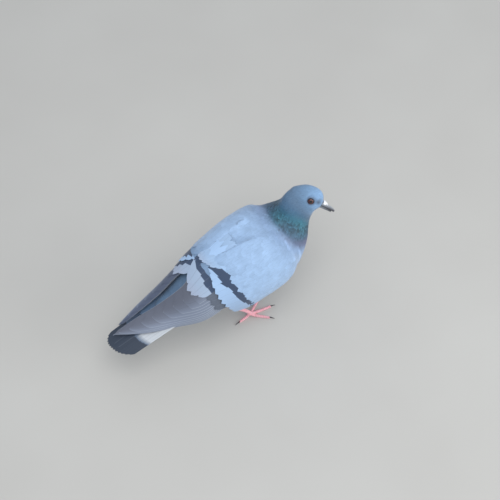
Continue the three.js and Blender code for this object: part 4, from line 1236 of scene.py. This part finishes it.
# Loose barbs without hooks: a velvety dull vane with a soft bloom, in which no quill shows.
down_vanes = feather_material("contour_feathers", 0.72, 0.55, 0.18, 0.06, sheen=0.3)
# Flat twisted barbs, smoother and without bloom, which give the neck its gloss.
neck_vanes = feather_material("glossy_neck_feathers", 0.50, 0.45, 0.12, 0.0)
roots, faces, gaps = scattered(coat_spacing, grows, COAT_SEED)
share, _ = lie(roots)
_, out, _ = on_skin(roots)
head, neck = share < HEAD_TO, (share >= HEAD_TO) & (share < NECK_TO)
leg = leg_share(roots) > 0.3
back = (out[:, 2] > -0.1) & (share > 0.45) & ~leg
breast = ~back & (share >= NECK_TO) & ~leg
groups = [  # steps along and across each feather, its length and half its width, its colours
    ("coat_head", head, down_vanes, "head_feathers", (5, 4), (4.6, 0.85), coat_colour),
    ("coat_neck", neck, neck_vanes, "neck_feathers", (7, 5), (3.7, 1.0), neck_colour),
    ("coat_thighs", leg, down_vanes, "body_feathers", (6, 4), (3.8, 1.0), coat_colour),
    ("coat_back", back, down_vanes, "body_feathers", (9, 7), (3.9, 1.15), coat_colour),
    ("coat_breast", breast, down_vanes, "body_feathers", (9, 7), (3.9, 1.15), coat_colour),
]
for number, (name, chosen, material, slot, steps, size, colour_of) in enumerate(groups):
    contour(name, roots[chosen], faces[chosen], gaps[chosen], material, slot, steps, size,
            60 + number, colour_of)

# ---- Floor and light -----------------------------------------------------------------------------
# A plain pale floor under soft studio light: a broad lamp overhead, a second one from the front right
# and a dim even sky.
LAMP_SIZE = 1.2  # in metres, as are their places
LAMPS = [("overhead", (-0.2, -0.5, 1.5), 10.5), ("fill", (1.2, -1.2, 0.6), 12)]  # watts
FLOOR_REACH = 3000  # from the middle to each edge

# Painted board: dull, with a hardly visible mottling.
floor_material, tree, surface = new_material("pale_floor")
speckle = node(tree, "ShaderNodeTexNoise", {"Scale": 40.0, "Detail": 2.0})
tint = node(tree, "ShaderNodeMix", {0: speckle.outputs["Fac"], 6: linear("#bdbbb6"),
                                    7: linear("#c6c5c0")}, data_type="RGBA")
plug(surface, {"Base Color": tint.outputs[2], "Roughness": 0.9})
corners = np.array([(-1, -1, 0), (1, -1, 0), (1, 1, 0), (-1, 1, 0)], float) * FLOOR_REACH
floor = mesh_of("floor", corners, np.array([[0, 1, 2, 3]]))
floor.data.materials.append(floor_material)

world = bpy.data.worlds.new("studio")
world.use_nodes = True
plug(world.node_tree.nodes["Background"], {"Color": linear("#e9eef6"), "Strength": 0.75})
scene.world = world
scene.view_settings.view_transform = "Standard"
for name, place, power in LAMPS:
    lamp = bpy.data.objects.new(name, bpy.data.lights.new(name, "AREA"))
    lamp.data.size = LAMP_SIZE
    lamp.data.energy = power
    lamp.location = place
    lamp.rotation_euler = (Vector(place) - Vector((0, 0, 0.09))).to_track_quat("Z", "Y").to_euler()
    scene.collection.objects.link(lamp)
